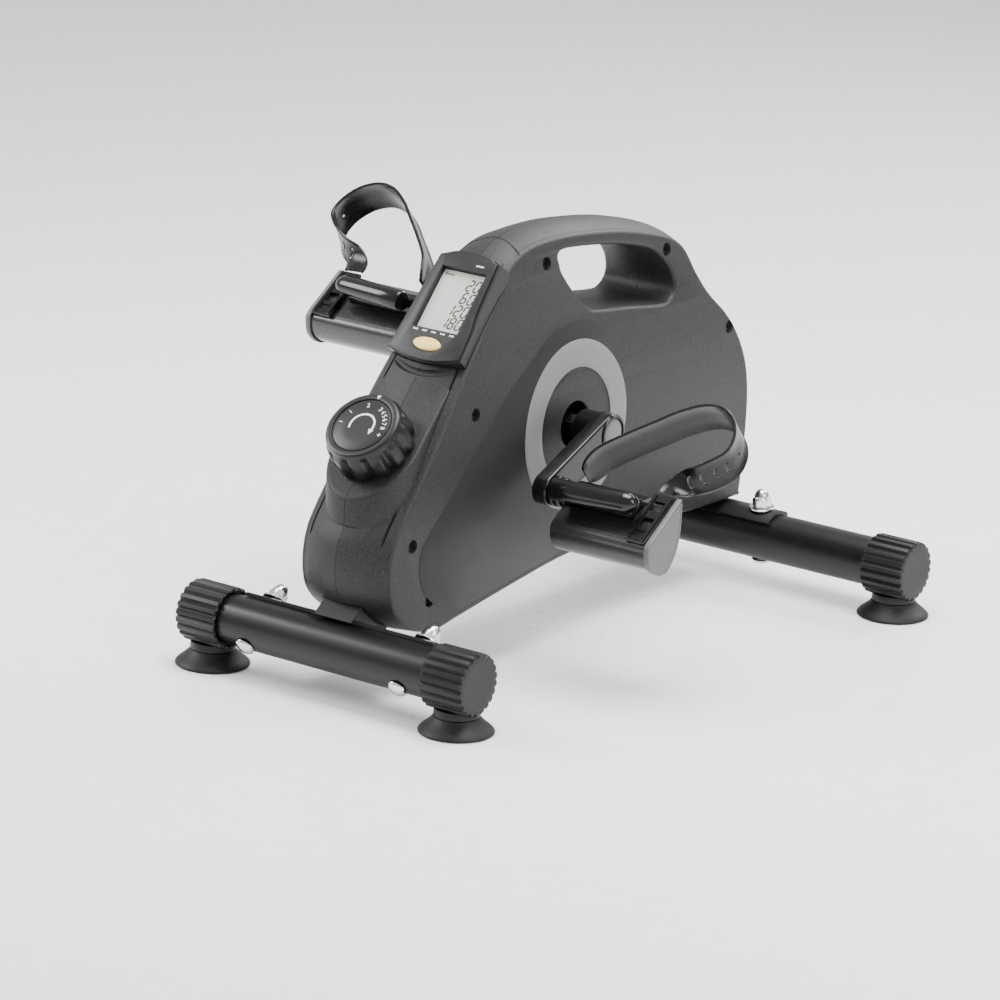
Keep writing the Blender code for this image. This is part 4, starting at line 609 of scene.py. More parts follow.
# %% Fasteners
FASTENER_LEAN = {"front": math.radians(39), "rear": math.radians(95)}
BOLT_X = abs(middle("front_right_bolt").x)
BOLT_RADIUS = 0.004
HEAD_RADIUS, HEAD_HEIGHT = 0.0078, 0.0042
SADDLE_THICKNESS = 0.0028
WASHER_RADIUS, WASHER_THICKNESS = 0.0098, 0.0016
NUT_HEX, NUT_DOME = 0.0065, 0.0075      # heights of the hexagon and of the dome on it
FLAT_RADIUS, DOME_RADIUS = 0.0065, 0.0060


def acorn_nut(base, hexagon, top):
    """Hexagon with turned corners below, a neck, and a dome above."""
    count = 96

    def hexagon_ring(along, limit):
        ring = []
        for step in range(count):
            turn = 2 * math.pi * step / count
            from_flat = (turn + math.pi / 6) % (math.pi / 3) - math.pi / 6
            reach = min(FLAT_RADIUS / math.cos(from_flat), limit)
            ring.append((along, reach * math.cos(turn), reach * math.sin(turn)))
        return ring

    rings = [[(along, y, z) for y, z in arc((0, 0), radius, 0, 2 * math.pi, count)[:-1]]
             for radius, along in ((BOLT_RADIUS + GAP, hexagon + GAP), (BOLT_RADIUS + GAP, base))]
    rings += [hexagon_ring(base, 0.0067), hexagon_ring(base + 0.0006, 0.0076),
              hexagon_ring(hexagon - 0.0006, 0.0076), hexagon_ring(hexagon, 0.0066)]
    for step in range(9):
        turn = math.pi / 2 * step / 9
        along = hexagon + 0.0006 + (top - hexagon - 0.0006) * math.sin(turn)
        rings.append([(along, y, z) for y, z in
                      arc((0, 0), DOME_RADIUS * math.cos(turn), 0, 2 * math.pi, count)[:-1]])
    rings.append([(top, 0, 0)])
    rings.insert(0, [(hexagon + GAP, 0, 0)])
    return loft(rings)


def fastener_set(label, side, side_name, tube_y):
    lean = FASTENER_LEAN[label]
    spin = Matrix.Rotation(lean, 4, "X") @ Matrix.Rotation(math.pi / 2, 4, "Z")
    place = Matrix.Translation((side * BOLT_X, tube_y, TUBE_Z)) @ spin
    seat = TUBE_RADIUS + GAP
    washer_low = seat + SADDLE_THICKNESS + GAP
    washer_top = washer_low + WASHER_THICKNESS
    nut_low = washer_top + GAP
    bolt_end = nut_low + NUT_HEX
    base = f"{label}_{side_name}"
    head = [(0, -seat - HEAD_HEIGHT)]
    head += [(HEAD_RADIUS * math.sin(t), -seat - HEAD_HEIGHT * math.cos(t))
             for t in (math.pi / 2 * step / 10 for step in range(1, 10))]
    head += [(HEAD_RADIUS, -seat - 0.0003), (HEAD_RADIUS - 0.0003, -seat), (BOLT_RADIUS, -seat),
             (BOLT_RADIUS, bolt_end - 0.0003), (BOLT_RADIUS - 0.0004, bolt_end), (0, bolt_end)]
    keep(mesh_object(base + "_coach_bolt", turned(head, segments=48), place=place), "zinc",
         "base", base + "_bolt")
    bore = BOLT_RADIUS + GAP
    ring = [(bore, washer_low), (WASHER_RADIUS - 0.0003, washer_low),
            (WASHER_RADIUS, washer_low + 0.0003), (WASHER_RADIUS, washer_top - 0.0003),
            (WASHER_RADIUS - 0.0003, washer_top), (bore, washer_top)]
    keep(mesh_object(base + "_flat_washer", turned(ring, segments=64), place=place), "zinc",
         "base", base + "_washer")
    nut = acorn_nut(nut_low, bolt_end, bolt_end + NUT_DOME)
    keep(mesh_object(base + "_acorn_nut", nut, place=place), "zinc", "base", base + "_nut",
         sharp=24)


for label, tube_y in TUBES:
    for side, side_name in SIDES:
        fastener_set(label, side, side_name, tube_y)
print("pieces with the fasteners:", len(made_pieces))

# %% [markdown]
# ## Housing: the outline
# The housing is two deep mouldings that meet on a seam in the middle. Seen from the side its
# outline climbs from a rounded nose, up the console slope, over the carrying handle and down a
# stepped back. Each row holds the edge of the side face first, then the seam, which stands a
# little further out because the shell is crowned. A smooth curve is run through the rows.

# %% Outline of the shell
HALF_WHEELBASE = 0.2275         # the outline is drawn from the front tube
SHELL_ROWS = [
    ((0.0700, 0.0425), (0.0640, 0.0425)), ((0.0460, 0.0470), (0.0380, 0.0470)),
    ((0.0260, 0.0590), (0.0170, 0.0600)), ((0.0130, 0.0740), (0.0030, 0.0760)),
    ((0.0090, 0.0920), (-0.0015, 0.0920)), ((0.0105, 0.1080), (-0.0012, 0.1060)),
    ((0.0150, 0.1210), (0.0020, 0.1190)), ((0.0235, 0.1335), (0.0120, 0.1330)),
    ((0.0366, 0.1500), (0.0260, 0.1500)), ((0.0680, 0.1900), (0.0585, 0.1900)),
    ((0.0990, 0.2290), (0.0915, 0.2295)), ((0.1250, 0.2590), (0.1185, 0.2600)),
    ((0.1500, 0.2860), (0.1445, 0.2880)), ((0.1680, 0.3010), (0.1640, 0.3050)),
    ((0.1930, 0.3090), (0.1910, 0.3145)), ((0.2310, 0.3100), (0.2310, 0.3170)),
    ((0.2700, 0.3070), (0.2710, 0.3140)), ((0.3100, 0.3015), (0.3120, 0.3080)),
    ((0.3480, 0.2930), (0.3520, 0.2985)), ((0.3720, 0.2850), (0.3780, 0.2890)),
    ((0.3870, 0.2740), (0.3940, 0.2770)), ((0.4000, 0.2540), (0.4070, 0.2570)),
    ((0.4160, 0.2350), (0.4230, 0.2385)), ((0.4380, 0.2160), (0.4450, 0.2190)),
    ((0.4540, 0.1970), (0.4615, 0.1990)), ((0.4665, 0.1720), (0.4745, 0.1730)),
    ((0.4715, 0.1450), (0.4795, 0.1450)), ((0.4715, 0.1150), (0.4795, 0.1150)),
    ((0.4690, 0.0850), (0.4765, 0.0850)), ((0.4660, 0.0640), (0.4720, 0.0640)),
    ((0.4600, 0.0618), (0.4640, 0.0618)), ((0.4100, 0.0625), (0.4100, 0.0625)),
    ((0.3300, 0.0660), (0.3300, 0.0660)), ((0.2370, 0.0645), (0.2370, 0.0645)),
    ((0.1600, 0.0555), (0.1600, 0.0555)), ((0.0950, 0.0460), (0.0950, 0.0460)),
]
OPENING = [
    (0.2300, 0.2990), (0.2850, 0.2940), (0.3260, 0.2860), (0.3480, 0.2780), (0.3640, 0.2640),
    (0.3700, 0.2490), (0.3640, 0.2400), (0.3500, 0.2380), (0.3050, 0.2440), (0.2700, 0.2480),
    (0.2560, 0.2520), (0.2420, 0.2640), (0.2310, 0.2770), (0.2250, 0.2880),
]
PER_ROW = 5


def behind(point):
    """From distance behind the front tube and height to the machine's own Y and Z."""
    return (point[0] - HALF_WHEELBASE, point[1])


def round_outline(points, per_span=PER_ROW):
    return [tuple(spot)[:2] for spot in flowing([(*behind(p), 0) for p in points], per_span, True)]


edge_line = round_outline([row[0] for row in SHELL_ROWS])
seam_line = round_outline([row[1] for row in SHELL_ROWS])
print("outline points:", len(edge_line))

# %% [markdown]
# The sides stand upright up to crank height and then lean in towards the handle. One function
# gives the half width at any height, so the panel, the ring and the screws can sit on it too.

# %% Half width at a height
FULL_HALF_WIDTH = 0.0405
TOP_HALF_WIDTH = 0.0245
LEAN_FROM, LEAN_TO = 0.150, 0.310
EDGE_ROUND = 0.0035
WALL = 0.0026


def half_width(z):
    share = min(max((z - LEAN_FROM) / (LEAN_TO - LEAN_FROM), 0), 1)
    return FULL_HALF_WIDTH - (FULL_HALF_WIDTH - TOP_HALF_WIDTH) * share ** 2


def lean_face(work, flat_x, extra, step=0.005):
    """Cut a flat side face into level strips and set each point to the housing's width."""
    def on_face():
        return [f for f in work.faces if all(abs(v.co.x - flat_x) < 1e-7 for v in f.verts)]

    height = LEAN_FROM
    while height < LEAN_TO:
        faces = on_face()
        parts = {e for f in faces for e in f.edges} | {v for f in faces for v in f.verts}
        bmesh.ops.bisect_plane(work, geom=[*parts, *faces], plane_co=(0, 0, height),
                               plane_no=(0, 0, 1))
        height += step
    for vert in {v for f in on_face() for v in f.verts}:
        vert.co.x = half_width(vert.co.z) + extra
    bmesh.ops.triangulate(work, faces=[f for f in work.faces if len(f.verts) > 4])


print("half width at the crank", half_width(0.166), "at the handle", round(half_width(0.3), 4))

# %% [markdown]
# ## Housing: the shell
# The skin is lofted from the seam out to the side. Two shallow grooves run along the console
# slope from the nose to the cowl, as on the real moulding, where they hide the joint of a trim
# strip. They are made by sinking single rings of the loft only where the slope is.

# %% Loft of half the shell
def along_slope(index, start=5.4, end=12.8):
    """1 along the console slope, fading to 0 at its ends."""
    row = index / PER_ROW
    return max(0.0, min(1.0, (row - start) / 0.8, (end - row) / 0.5))


def shell_half(shrink, start_x, grooves=True):
    """Outer form with grooves, or the plain inside, which follows the rows by straight lines."""
    edge, seam = edge_line, seam_line
    if shrink:
        edge, seam = (inward([behind(row[i]) for row in SHELL_ROWS], shrink) for i in (0, 1))
    shares = [(0.0, 0), (0.25, 0), (0.5, 0), (0.68, 0), (0.80, 0)]
    if grooves:
        shares += [(0.845, 0), (0.855, 0.0024), (0.885, 0.0024), (0.895, 0), (0.95, 0), (1.0, 0)]
    else:
        shares += [(0.9, 0), (1.0, 0)]
    rings = []
    for share, sink in shares:
        ring = []
        sunk = [sink * along_slope(i) for i in range(len(edge))]
        line = [(s[0] + (e[0] - s[0]) * share ** 2, s[1] + (e[1] - s[1]) * share ** 2)
                for e, s in zip(edge, seam)]
        line = inward(line, sunk) if sink else line
        for y, z in line:
            reach = half_width(z) - shrink - EDGE_ROUND
            ring.append((start_x + (reach - start_x) * share, y, z))
        rings.append(ring)
    for step in range(1, 6):
        bend = math.pi / 2 * step / 5
        line = inward(edge, EDGE_ROUND * (1 - math.cos(bend)))
        rings.append([(half_width(z) - shrink - EDGE_ROUND * (1 - math.sin(bend)), y, z)
                      for y, z in line])
    flat_x = FULL_HALF_WIDTH
    rings[-1] = [(flat_x, y, z) for _, y, z in rings[-1]]
    work = loft(rings)
    lean_face(work, flat_x, -shrink)
    return work


print("groove depth at the middle of the slope:", 0.0024 * along_slope(9 * PER_ROW))

# %% [markdown]
# The slope that faces the rider carries a round-ended platform for the brake knob. It is a
# separate form with upright walls and a softly broken upper edge, joined to the shell.

# %% Frames of the slope, the console and the knob
def slope_axes(low, high):
    along = (high - low).normalized()
    return along, Vector((0, -along.z, along.y))


def at(row_or_point):
    return Vector((0, *behind(row_or_point)))


slope_low = at(SHELL_ROWS[9][1])
slope_along, slope_out = slope_axes(slope_low, at(SHELL_ROWS[12][1]))
CONSOLE_LENGTH = 0.094
CONSOLE_PROUD = 0.0065          # how far the console's face stands above the slope
console_middle = at(SHELL_ROWS[13][1]) - slope_along * (CONSOLE_LENGTH / 2 + 0.006)
console_middle += slope_out * (CONSOLE_PROUD - (console_middle - slope_low).dot(slope_out))

platform_low = at((0.0073, 0.1493))
platform_along, platform_out = slope_axes(platform_low, at((0.0935, 0.2235)))
KNOB_UP_SLOPE = 0.046           # from the platform's lower edge
knob_origin = platform_low + platform_along * KNOB_UP_SLOPE
KNOB_FRAME = Matrix.Translation(knob_origin) @ Matrix(
    (Vector((1, 0, 0)), platform_along, platform_out)).transposed().to_4x4()


def on_console(across, along, height):
    point = console_middle + slope_along * along + slope_out * height
    return (point.x + across, point.y, point.z)


print("console slope", round(math.degrees(math.atan2(slope_along.z, slope_along.y)), 1), "degrees")

# %% Platform under the knob
def knob_platform(start_x):
    radius = FULL_HALF_WIDTH - 0.0045
    centre_y = platform_low.y + radius
    far_y = platform_low.y + platform_along.y * 0.108

    def outline(inset):
        reach = radius - inset
        points = [(x, centre_y - math.sqrt(max(reach ** 2 - x ** 2, 0)))
                  for x in (reach * math.sin(math.pi / 2 * s / 24) for s in range(25))]
        points[0] = (start_x, points[0][1])
        return points + [(reach - 0.006, far_y), (start_x, far_y)]

    def ring(inset, drop, flat=False):
        if flat:
            return [(x, y, platform_low.z - 0.021) for x, y in outline(inset)]
        rise = platform_along.z / platform_along.y
        return [(x, y, platform_low.z + (y - platform_low.y) * rise - drop)
                for x, y in outline(inset)]

    return loft([ring(0, 0, True), ring(0, 0.0018), ring(0.0004, 0.0008), ring(0.0012, 0.0002),
                 ring(0.0024, 0.0)])


# %% [markdown]
# The carrying handle is an opening with deep rounded walls. The cutter is lofted across the
# machine: straight in the middle, then flaring out to the side face so that the rim is rolled
# over and comfortable to hold.

# %% Cutters of the shell
def handle_cutter(grow, flare, start_x=-0.01):
    base = round_outline(OPENING, 6)
    rings = [[(start_x, y, z) for y, z in inward(base, -grow)]]
    for share, out in ((0.0, 0.0), (0.35, 0.06), (0.65, 0.25), (0.85, 0.56), (0.96, 0.86),
                       (1.0, 1.0)):
        line = inward(base, -grow - flare * out)
        rings.append([(half_width(z) - 0.0042 + 0.0044 * share, y, z) for y, z in line])
    rings.append([(0.06, y, z) for _, y, z in rings[-1]])
    return loft(rings)


def console_outline(grow, bow=0.006, steps=24):
    half = CONSOLE_LENGTH / 2 + grow
    low, high = 0.0335 + grow, 0.0285 + grow
    points = []
    for step in range(steps + 1):
        x = -low + 2 * low * step / steps
        points.append((x, -half + bow * (x / low) ** 2))
    for step in range(1, steps):
        share = step / steps
        points.append((low + (high - low) * share, -half + bow + (2 * half - 2 * bow) * share))
    for step in range(steps + 1):
        x = high - 2 * high * step / steps
        points.append((x, half - bow * (x / high) ** 2))
    for step in range(1, steps):
        share = step / steps
        points.append((-high + (high - low) * share, half - bow - (2 * half - 2 * bow) * share))
    return points


SCREWS = [(0.0370, 0.1140), (0.1100, 0.1980), (0.2070, 0.2930), (0.3610, 0.2780),
          (0.4410, 0.2040), (0.4275, 0.0820), (0.0600, 0.0680)]
SCREW_RADIUS = 0.0052
SCREW_DEPTH = 0.0050


def screw_turn(z):
    """Lean of the side face at a height, as a turn about Y's direction along the machine."""
    return math.atan2(half_width(z - 0.002) - half_width(z + 0.002), 0.004)


def tube_along(points, radius, count=10):
    """Round rod along a path, used to cut grooves."""
    rings = []
    for index, point in enumerate(points):
        run = (points[min(index + 1, len(points) - 1)] - points[max(index - 1, 0)]).normalized()
        side = run.cross(Vector((0.1, 0.2, 1))).normalized()
        other = side.cross(run)
        rings.append([point + side * a + other * b
                      for a, b in arc((0, 0), radius, 0, 2 * math.pi, count)[:-1]])
    return loft(rings)


def crown_point(row, x):
    """Point on the crowned skin at a place along the outline and a distance from the seam."""
    index = row * PER_ROW
    low, share = int(index), index - int(index)
    e = Vector(edge_line[low]).lerp(Vector(edge_line[low + 1]), share)
    s = Vector(seam_line[low]).lerp(Vector(seam_line[low + 1]), share)
    reach = half_width(s.y) - EDGE_ROUND
    point = s.lerp(e, min(abs(x) / reach, 1.0) ** 2)
    return Vector((x, point.x, point.y))


COWL_ROW = 13.35
cowl_path = [crown_point(COWL_ROW + 0.35 * (1 - (x / TOP_HALF_WIDTH) ** 2), x)
             for x in (0.0290 * step / 20 - 0.0290 for step in range(41))]
console_foot = console_middle - slope_along * (CONSOLE_LENGTH / 2 + 0.0075)
CRESCENT_ROW = min((step / 50 for step in range(440, 640)),
                   key=lambda row: (crown_point(row, 0) - console_foot).length)
CRESCENT_HALF = 0.027
crescent_path = []
for step in range(33):
    share = step / 16 - 1
    point = crown_point(CRESCENT_ROW + 0.10 * share ** 2, CRESCENT_HALF * share)
    crescent_path.append(point + slope_out * (0.0006 + 0.0022 * share ** 4))
print("cowl groove from", [round(c, 3) for c in cowl_path[0]],
      "over", [round(c, 3) for c in cowl_path[20]])

# %% [markdown]
# Now the half shell is put together: outer form and platform, minus the inside, the handle, the
# console pocket, the crank hole, the screw recesses and the two places where the frame's legs
# leave it.

# %% The two halves
def slanted_room(low_y, low_z, lean, half, depth, start, length):
    along = Vector((math.cos(lean), math.sin(lean)))
    across = Vector((-along.y, along.x))
    origin = Vector((low_y, low_z))
    corners = [tuple(origin + along * a + across * b)
               for a, b in ((start, -depth / 2), (length, -depth / 2), (length, depth / 2),
                            (start, depth / 2))]
    return prism(corners, -half, half, from_side)


SEAM_X = 0.00015                # each half stops this far from the middle
CRANK_HOLE_RADIUS = 0.018
LEG_HALF_WIDTH = 0.0178
REAR_LEG_HALF_DEPTH = 0.0188


def housing_half(side_name, side):
    shell = mesh_object(side_name + "_shell", shell_half(0, SEAM_X), side)
    combine(shell, [mesh_object("platform", knob_platform(SEAM_X), side)], "UNION")
    inside = mesh_object("inside", shell_half(WALL, -0.001, grooves=False), side)
    combine(inside, [mesh_object("wall", handle_cutter(0.003, 0.0), side),
                     mesh_object("pocket_wall", prism(console_outline(WALL + GAP), -0.0186, 0.02,
                                                      on_console))])
    tools = [inside, mesh_object("opening", handle_cutter(0.0, 0.0035), side),
             mesh_object("pocket", prism(console_outline(GAP), -0.0163, 0.03, on_console))]
    hole = turned([(0, 0.0293), (CRANK_HOLE_RADIUS, 0.0293), (CRANK_HOLE_RADIUS, 0.0391),
                   (CRANK_HOLE_RADIUS + 0.0031, 0.0422), (CRANK_HOLE_RADIUS + 0.0031, 0.06),
                   (0, 0.06)], segments=90)
    tools.append(mesh_object("crank_hole", hole, side, (0, CRANK.y, CRANK.z)))
    tools.append(mesh_object("cowl_groove", tube_along(cowl_path, 0.0009)))
    tools.append(mesh_object("crescent", tube_along(crescent_path, 0.0030, 20)))
    for spot in SCREWS:
        y, z = behind(spot)
        recess = turned([(0, -SCREW_DEPTH), (SCREW_RADIUS - 0.0006, -SCREW_DEPTH),
                         (SCREW_RADIUS, 0.0), (SCREW_RADIUS + 0.0006, 0.0008), (0, 0.0008)],
                        segments=40)
        place = Matrix.Translation((half_width(z), y, z)) @ Matrix.Rotation(-screw_turn(z), 4, "Y")
        pit = turned([(0, -SCREW_DEPTH - 0.002), (SCREW_RADIUS + 0.0016, -SCREW_DEPTH - 0.002),
                      (SCREW_RADIUS + 0.0016, -0.0005), (0, -0.0005)], segments=40)
        combine(inside, [mesh_object("pit", pit, side, place)])
        tools.append(mesh_object("recess", recess, side, place))
    tools.append(mesh_object("leg_room", slanted_room(FRONT_Y, TUBE_Z, FASTENER_LEAN["front"],
                                                      LEG_HALF_WIDTH, 0.0396, -0.02, 0.0885)))
    fore, aft = REAR_Y - REAR_LEG_HALF_DEPTH, REAR_Y + REAR_LEG_HALF_DEPTH
    tools.append(mesh_object("rear_room", prism([(fore, 0.03), (aft, 0.03), (aft, 0.112),
                                                 (fore, 0.112)], -LEG_HALF_WIDTH, LEG_HALF_WIDTH,
                                                from_side)))
    spindle = turned([(0, -0.03), (0.0044, -0.03), (0.0044, 0.03), (0, 0.03)], "Z", 32)
    tools.append(mesh_object("spindle_hole", spindle, 1, KNOB_FRAME))
    combine(shell, tools)
    print(side_name, "shell faces", len(shell.data.polygons))
    return keep(shell, "housing_plastic", "base", side_name + "_housing", sharp=34)


for side, side_name in SIDES:
    housing_half(side_name, side)

# %% [markdown]
# ## Recessed housing screws
# The halves are held by black screws at the bottom of deep round recesses. Each head has a cross
# slot, so it is modelled with one.

# %% Screws
def screw_head(side_name, side, number, spot):
    y, z = behind(spot)
    place = Matrix.Translation((half_width(z), y, z)) @ Matrix.Rotation(-screw_turn(z), 4, "Y")
    head = turned([(0, -SCREW_DEPTH + 0.0002), (0.0038, -SCREW_DEPTH + 0.0002),
                   (0.0037, -0.0032), (0.0030, -0.0024), (0.0014, -0.0020), (0, -0.0020)],
                  segments=40)
    item = mesh_object(f"{side_name}_housing_screw_{number}", head, side, place)
    slots = []
    for turn in (0.4, 0.4 + math.pi / 2):
        bar = prism([(-0.0022, -0.0005), (0.0022, -0.0005), (0.0022, 0.0005), (-0.0022, 0.0005)],
                    -0.0034, 0.001, from_side)
        slots.append(mesh_object("slot", bar, side, place @ Matrix.Rotation(turn, 4, "X")))
    combine(item, slots)
    keep(item, "screw_black", "base", sharp=30)


for side, side_name in SIDES:
    for number, spot in enumerate(SCREWS, 1):
        screw_head(side_name, side, number, spot)
print("screws:", 2 * len(SCREWS))

# %% [markdown]
# ## Side panel and grey ring
# A smoother panel lies on each side. Its front edge runs parallel to the console slope, and its
# top follows an arc round the ring. Towards the back it sinks into the shell, so the line fades.
# The light grey ring round the crank is a thin printed band on that panel.

# %% Side panels
PANEL_LIFT = 0.00042            # how far the panel stands above the shell at its front
RING_IN, RING_OUT = 0.044, 0.065
RING_PROUD = 0.00062


def panel_line():
    top = arc((0.236, 0.166), 0.080, math.radians(30), math.radians(128), 26)
    front = [(0.1500, 0.2060), (0.1180, 0.1760), (0.0800, 0.1400), (0.0530, 0.1150),
             (0.0475, 0.1060), (0.0460, 0.0940), (0.0490, 0.0820), (0.0560, 0.0715),
             (0.0670, 0.0630), (0.0800, 0.0572), (0.0980, 0.0535)]
    low = [(0.1600, 0.0610), (0.2370, 0.0700), (0.3300, 0.0715), (0.4050, 0.0690)]
    back = [(0.4150, 0.0900), (0.4100, 0.1200), (0.3600, 0.1700)]
    joined = top + front + low + back
    return [tuple(spot)[:2] for spot in flowing([(*behind(p), 0) for p in joined], 3, True)]


def side_panel(side_name, side):
    line = panel_line()
    flat_x = FULL_HALF_WIDTH
    rings = [[(flat_x - 0.001, y, z) for y, z in line], [(flat_x - 0.0002, y, z) for y, z in line],
             [(flat_x, y, z) for y, z in inward(line, 0.0003)]]
    work = loft(rings)
    far = {v: v.co.x - flat_x for v in work.verts if v.co.x < flat_x - 1e-6}
    lean_face(work, flat_x, 0.0)
    for vert in work.verts:
        fade = min(max((vert.co.y + HALF_WHEELBASE - 0.262) / 0.06, 0), 1)
        lift = PANEL_LIFT - 0.0012 * fade
        vert.co.x = half_width(vert.co.z) + lift + far.get(vert, 0.0)
    panel = mesh_object(side_name + "_side_panel", work, side)
    hole = turned([(0, 0.02), (0.0196, 0.02), (0.0196, 0.06), (0, 0.06)], segments=96)
    combine(panel, [mesh_object("hole", hole, side, (0, CRANK.y, CRANK.z))])
    # the panel's finish is darker than the housing's: painted shade on top of its finer grain
    return keep(panel, "panel_plastic", "base", sharp=40)


def grey_ring(side_name, side):
    def ring(radius, lift):
        points = arc((CRANK.y, CRANK.z), radius, 0, 2 * math.pi, 144)[:-1]
        return [(half_width(z) + lift, y, z) for y, z in points]

    top = RING_PROUD
    rings = [ring(RING_IN, 0.0), ring(RING_IN, top - 0.0001), ring(RING_IN + 0.0002, top)]
    rings += [ring(RING_IN + (RING_OUT - RING_IN) * share, top) for share in (0.25, 0.5, 0.75)]
    rings += [ring(RING_OUT - 0.0002, top), ring(RING_OUT, top - 0.0001), ring(RING_OUT, 0.0)]
    band = mesh_object(side_name + "_grey_ring", loft(rings, closed=True), side)
    return keep(band, "ring_grey", "base", sharp=50)


for side, side_name in SIDES:
    side_panel(side_name, side)
    grey_ring(side_name, side)
print("pieces so far:", len(made_pieces))

# %% [markdown]
# ## Console
# The display module is a flat moulding let into the slope. Its face stands a few millimetres
# proud, a waved step runs down both flanks, and the display lies at the bottom of a deep window
# so that room light doesn't wash it out.

# %% Console case
def waved_outline(inset, wave):
    """The console's outline with its flanks drawn in, more above the wave than below it."""
    points = []
    for x, y in console_outline(-inset):
        share = (y + CONSOLE_LENGTH / 2) / CONSOLE_LENGTH
        draw = wave * (0.35 + 0.65 / (1 + math.exp(-(share - 0.40) * 30)))
        flank = min(1.0, abs(x) / 0.024) ** 6
        points.append((x - math.copysign(draw * flank, x), y))
    return points


def layer(outline, height):
    return [on_console(a, b, height) for a, b in outline]


CONSOLE_DEEP = 0.016
WAVE = 0.0036                   # how far the step runs in above the wave
case_rings = [layer(console_outline(0), -CONSOLE_DEEP), layer(console_outline(0), -0.0026),
              layer(console_outline(-0.0004), -0.0021)]
case_rings += [layer(waved_outline(inset, WAVE), height) for inset, height in
               ((0.0004, -0.0020), (0.0004, -0.0008), (0.0007, -0.0003), (0.0014, 0.0))]
console_case = mesh_object("console_case", loft(case_rings))

WINDOW_UP = CONSOLE_LENGTH * 0.055
WINDOW_WIDE, WINDOW_LONG = 0.0395, 0.051
WINDOW_DEEP = 0.0045            # from the console's face down to the film


def window(grow):
    x, y = WINDOW_WIDE / 2 + grow, WINDOW_LONG / 2 + grow
    return [(-x, WINDOW_UP - y), (x, WINDOW_UP - y), (x, WINDOW_UP + y), (-x, WINDOW_UP + y)]


window_cut = loft([layer(window(GAP), -0.0068), layer(window(GAP), -0.0006),
                   layer(window(0.0009), 0.0001), layer(window(0.0009), 0.01)])
BUTTON_UP = -CONSOLE_LENGTH / 2 + 0.0135


def oval(wide, long, height, count=64):
    return [on_console(wide * math.cos(t), BUTTON_UP + long * math.sin(t), height)
            for t in (2 * math.pi * step / count for step in range(count))]


well_cut = loft([oval(0.01255, 0.00555, -0.0045), oval(0.01255, 0.00555, -0.0004),
                 oval(0.0131, 0.0061, 0.0001), oval(0.0131, 0.0061, 0.01)])
board_room = prism([(-0.024, -0.036), (0.024, -0.036), (0.024, 0.036), (-0.024, 0.036)],
                   -0.018, -0.0085, on_console)
combine(console_case, [mesh_object("window", window_cut), mesh_object("well", well_cut),
                       mesh_object("room", board_room)])
keep(console_case, "console_plastic", "base", "console_body", sharp=32)

# %% Display glass
glass = loft([layer(window(0), -0.0065), layer(window(0), -WINDOW_DEEP - 0.0002),
              layer(window(-0.0003), -WINDOW_DEEP)])
keep(mesh_object("display_film", glass), "display_glass", "base", "lcd_display", sharp=30)
print("console case faces", len(console_case.data.polygons))

# %% [markdown]
# The display shows four rows of slanted seven-segment figures, set to the right. Each segment is
# a thin six-sided bar a tenth of a millimetre above the film, as a printed mask looks.

# %% Seven-segment figures
SEGMENTS = {"a": (0, 2, 1, 2), "b": (1, 1, 1, 2), "c": (1, 0, 1, 1), "d": (0, 0, 1, 0),
            "e": (0, 0, 0, 1), "f": (0, 1, 0, 2), "g": (0, 1, 1, 1)}
FIGURES = {"0": "abcdef", "1": "bc", "2": "abged", "3": "abgcd", "4": "fgbc", "5": "afgcd",
           "6": "afgedc", "7": "abc", "8": "abcdefg", "9": "abfgcd"}


def flat_shape(work, outline, low, high, place):
    """Add a thin prism to a mesh that holds several."""
    rings = [[work.verts.new(place(a, b, h)) for a, b in outline] for h in (low, high)]
    bridge(work, *rings)
    work.faces.new(rings[0])
    work.faces.new(rings[1])


INK_LOW, INK_HIGH = -WINDOW_DEEP - 0.00002, -WINDOW_DEEP + 0.00010


def figure(work, text, right_x, low_y, high, slant=0.16):
    wide, half = high * 0.46, high / 2
    thick = high * 0.075
    x = right_x - wide
    for letter in reversed(text):
        for key in FIGURES[letter]:
            x0, y0, x1, y1 = SEGMENTS[key]
            start = Vector((x + x0 * wide, y0 * half))
            end = Vector((x + x1 * wide, y1 * half))
            run = (end - start).normalized()
            side = Vector((-run.y, run.x)) * thick
            start, end = start + run * thick * 0.2, end - run * thick * 0.2
            bar = [start, start + run * thick + side, end - run * thick + side, end,
                   end - run * thick - side, start + run * thick - side]
            flat_shape(work, [(p.x + p.y * slant, p.y + low_y) for p in bar], INK_LOW, INK_HIGH,
                       on_console)
        x -= wide * 1.62


figures = bmesh.new()
right_x = WINDOW_WIDE / 2 - 0.0035
base_y = WINDOW_UP - WINDOW_LONG / 2
FIGURE_HEIGHT = 0.0088
for text, row_y in (("20", 0.0370), ("60", 0.0262), ("120", 0.0152), ("180", 0.0045)):
    figure(figures, text, right_x, base_y + row_y, FIGURE_HEIGHT)
for index in range(4):
    x = -WINDOW_WIDE / 2 + 0.0025 + index * 0.0021
    flat_shape(figures, [(x, base_y + 0.0465), (x + 0.0013, base_y + 0.0465),
                         (x + 0.0015, base_y + 0.0483), (x + 0.0002, base_y + 0.0483)],
               INK_LOW, INK_HIGH, on_console)
bmesh.ops.recalc_face_normals(figures, faces=figures.faces)
keep(mesh_object("display_figures", figures), "display_ink", "base", sharp=20)

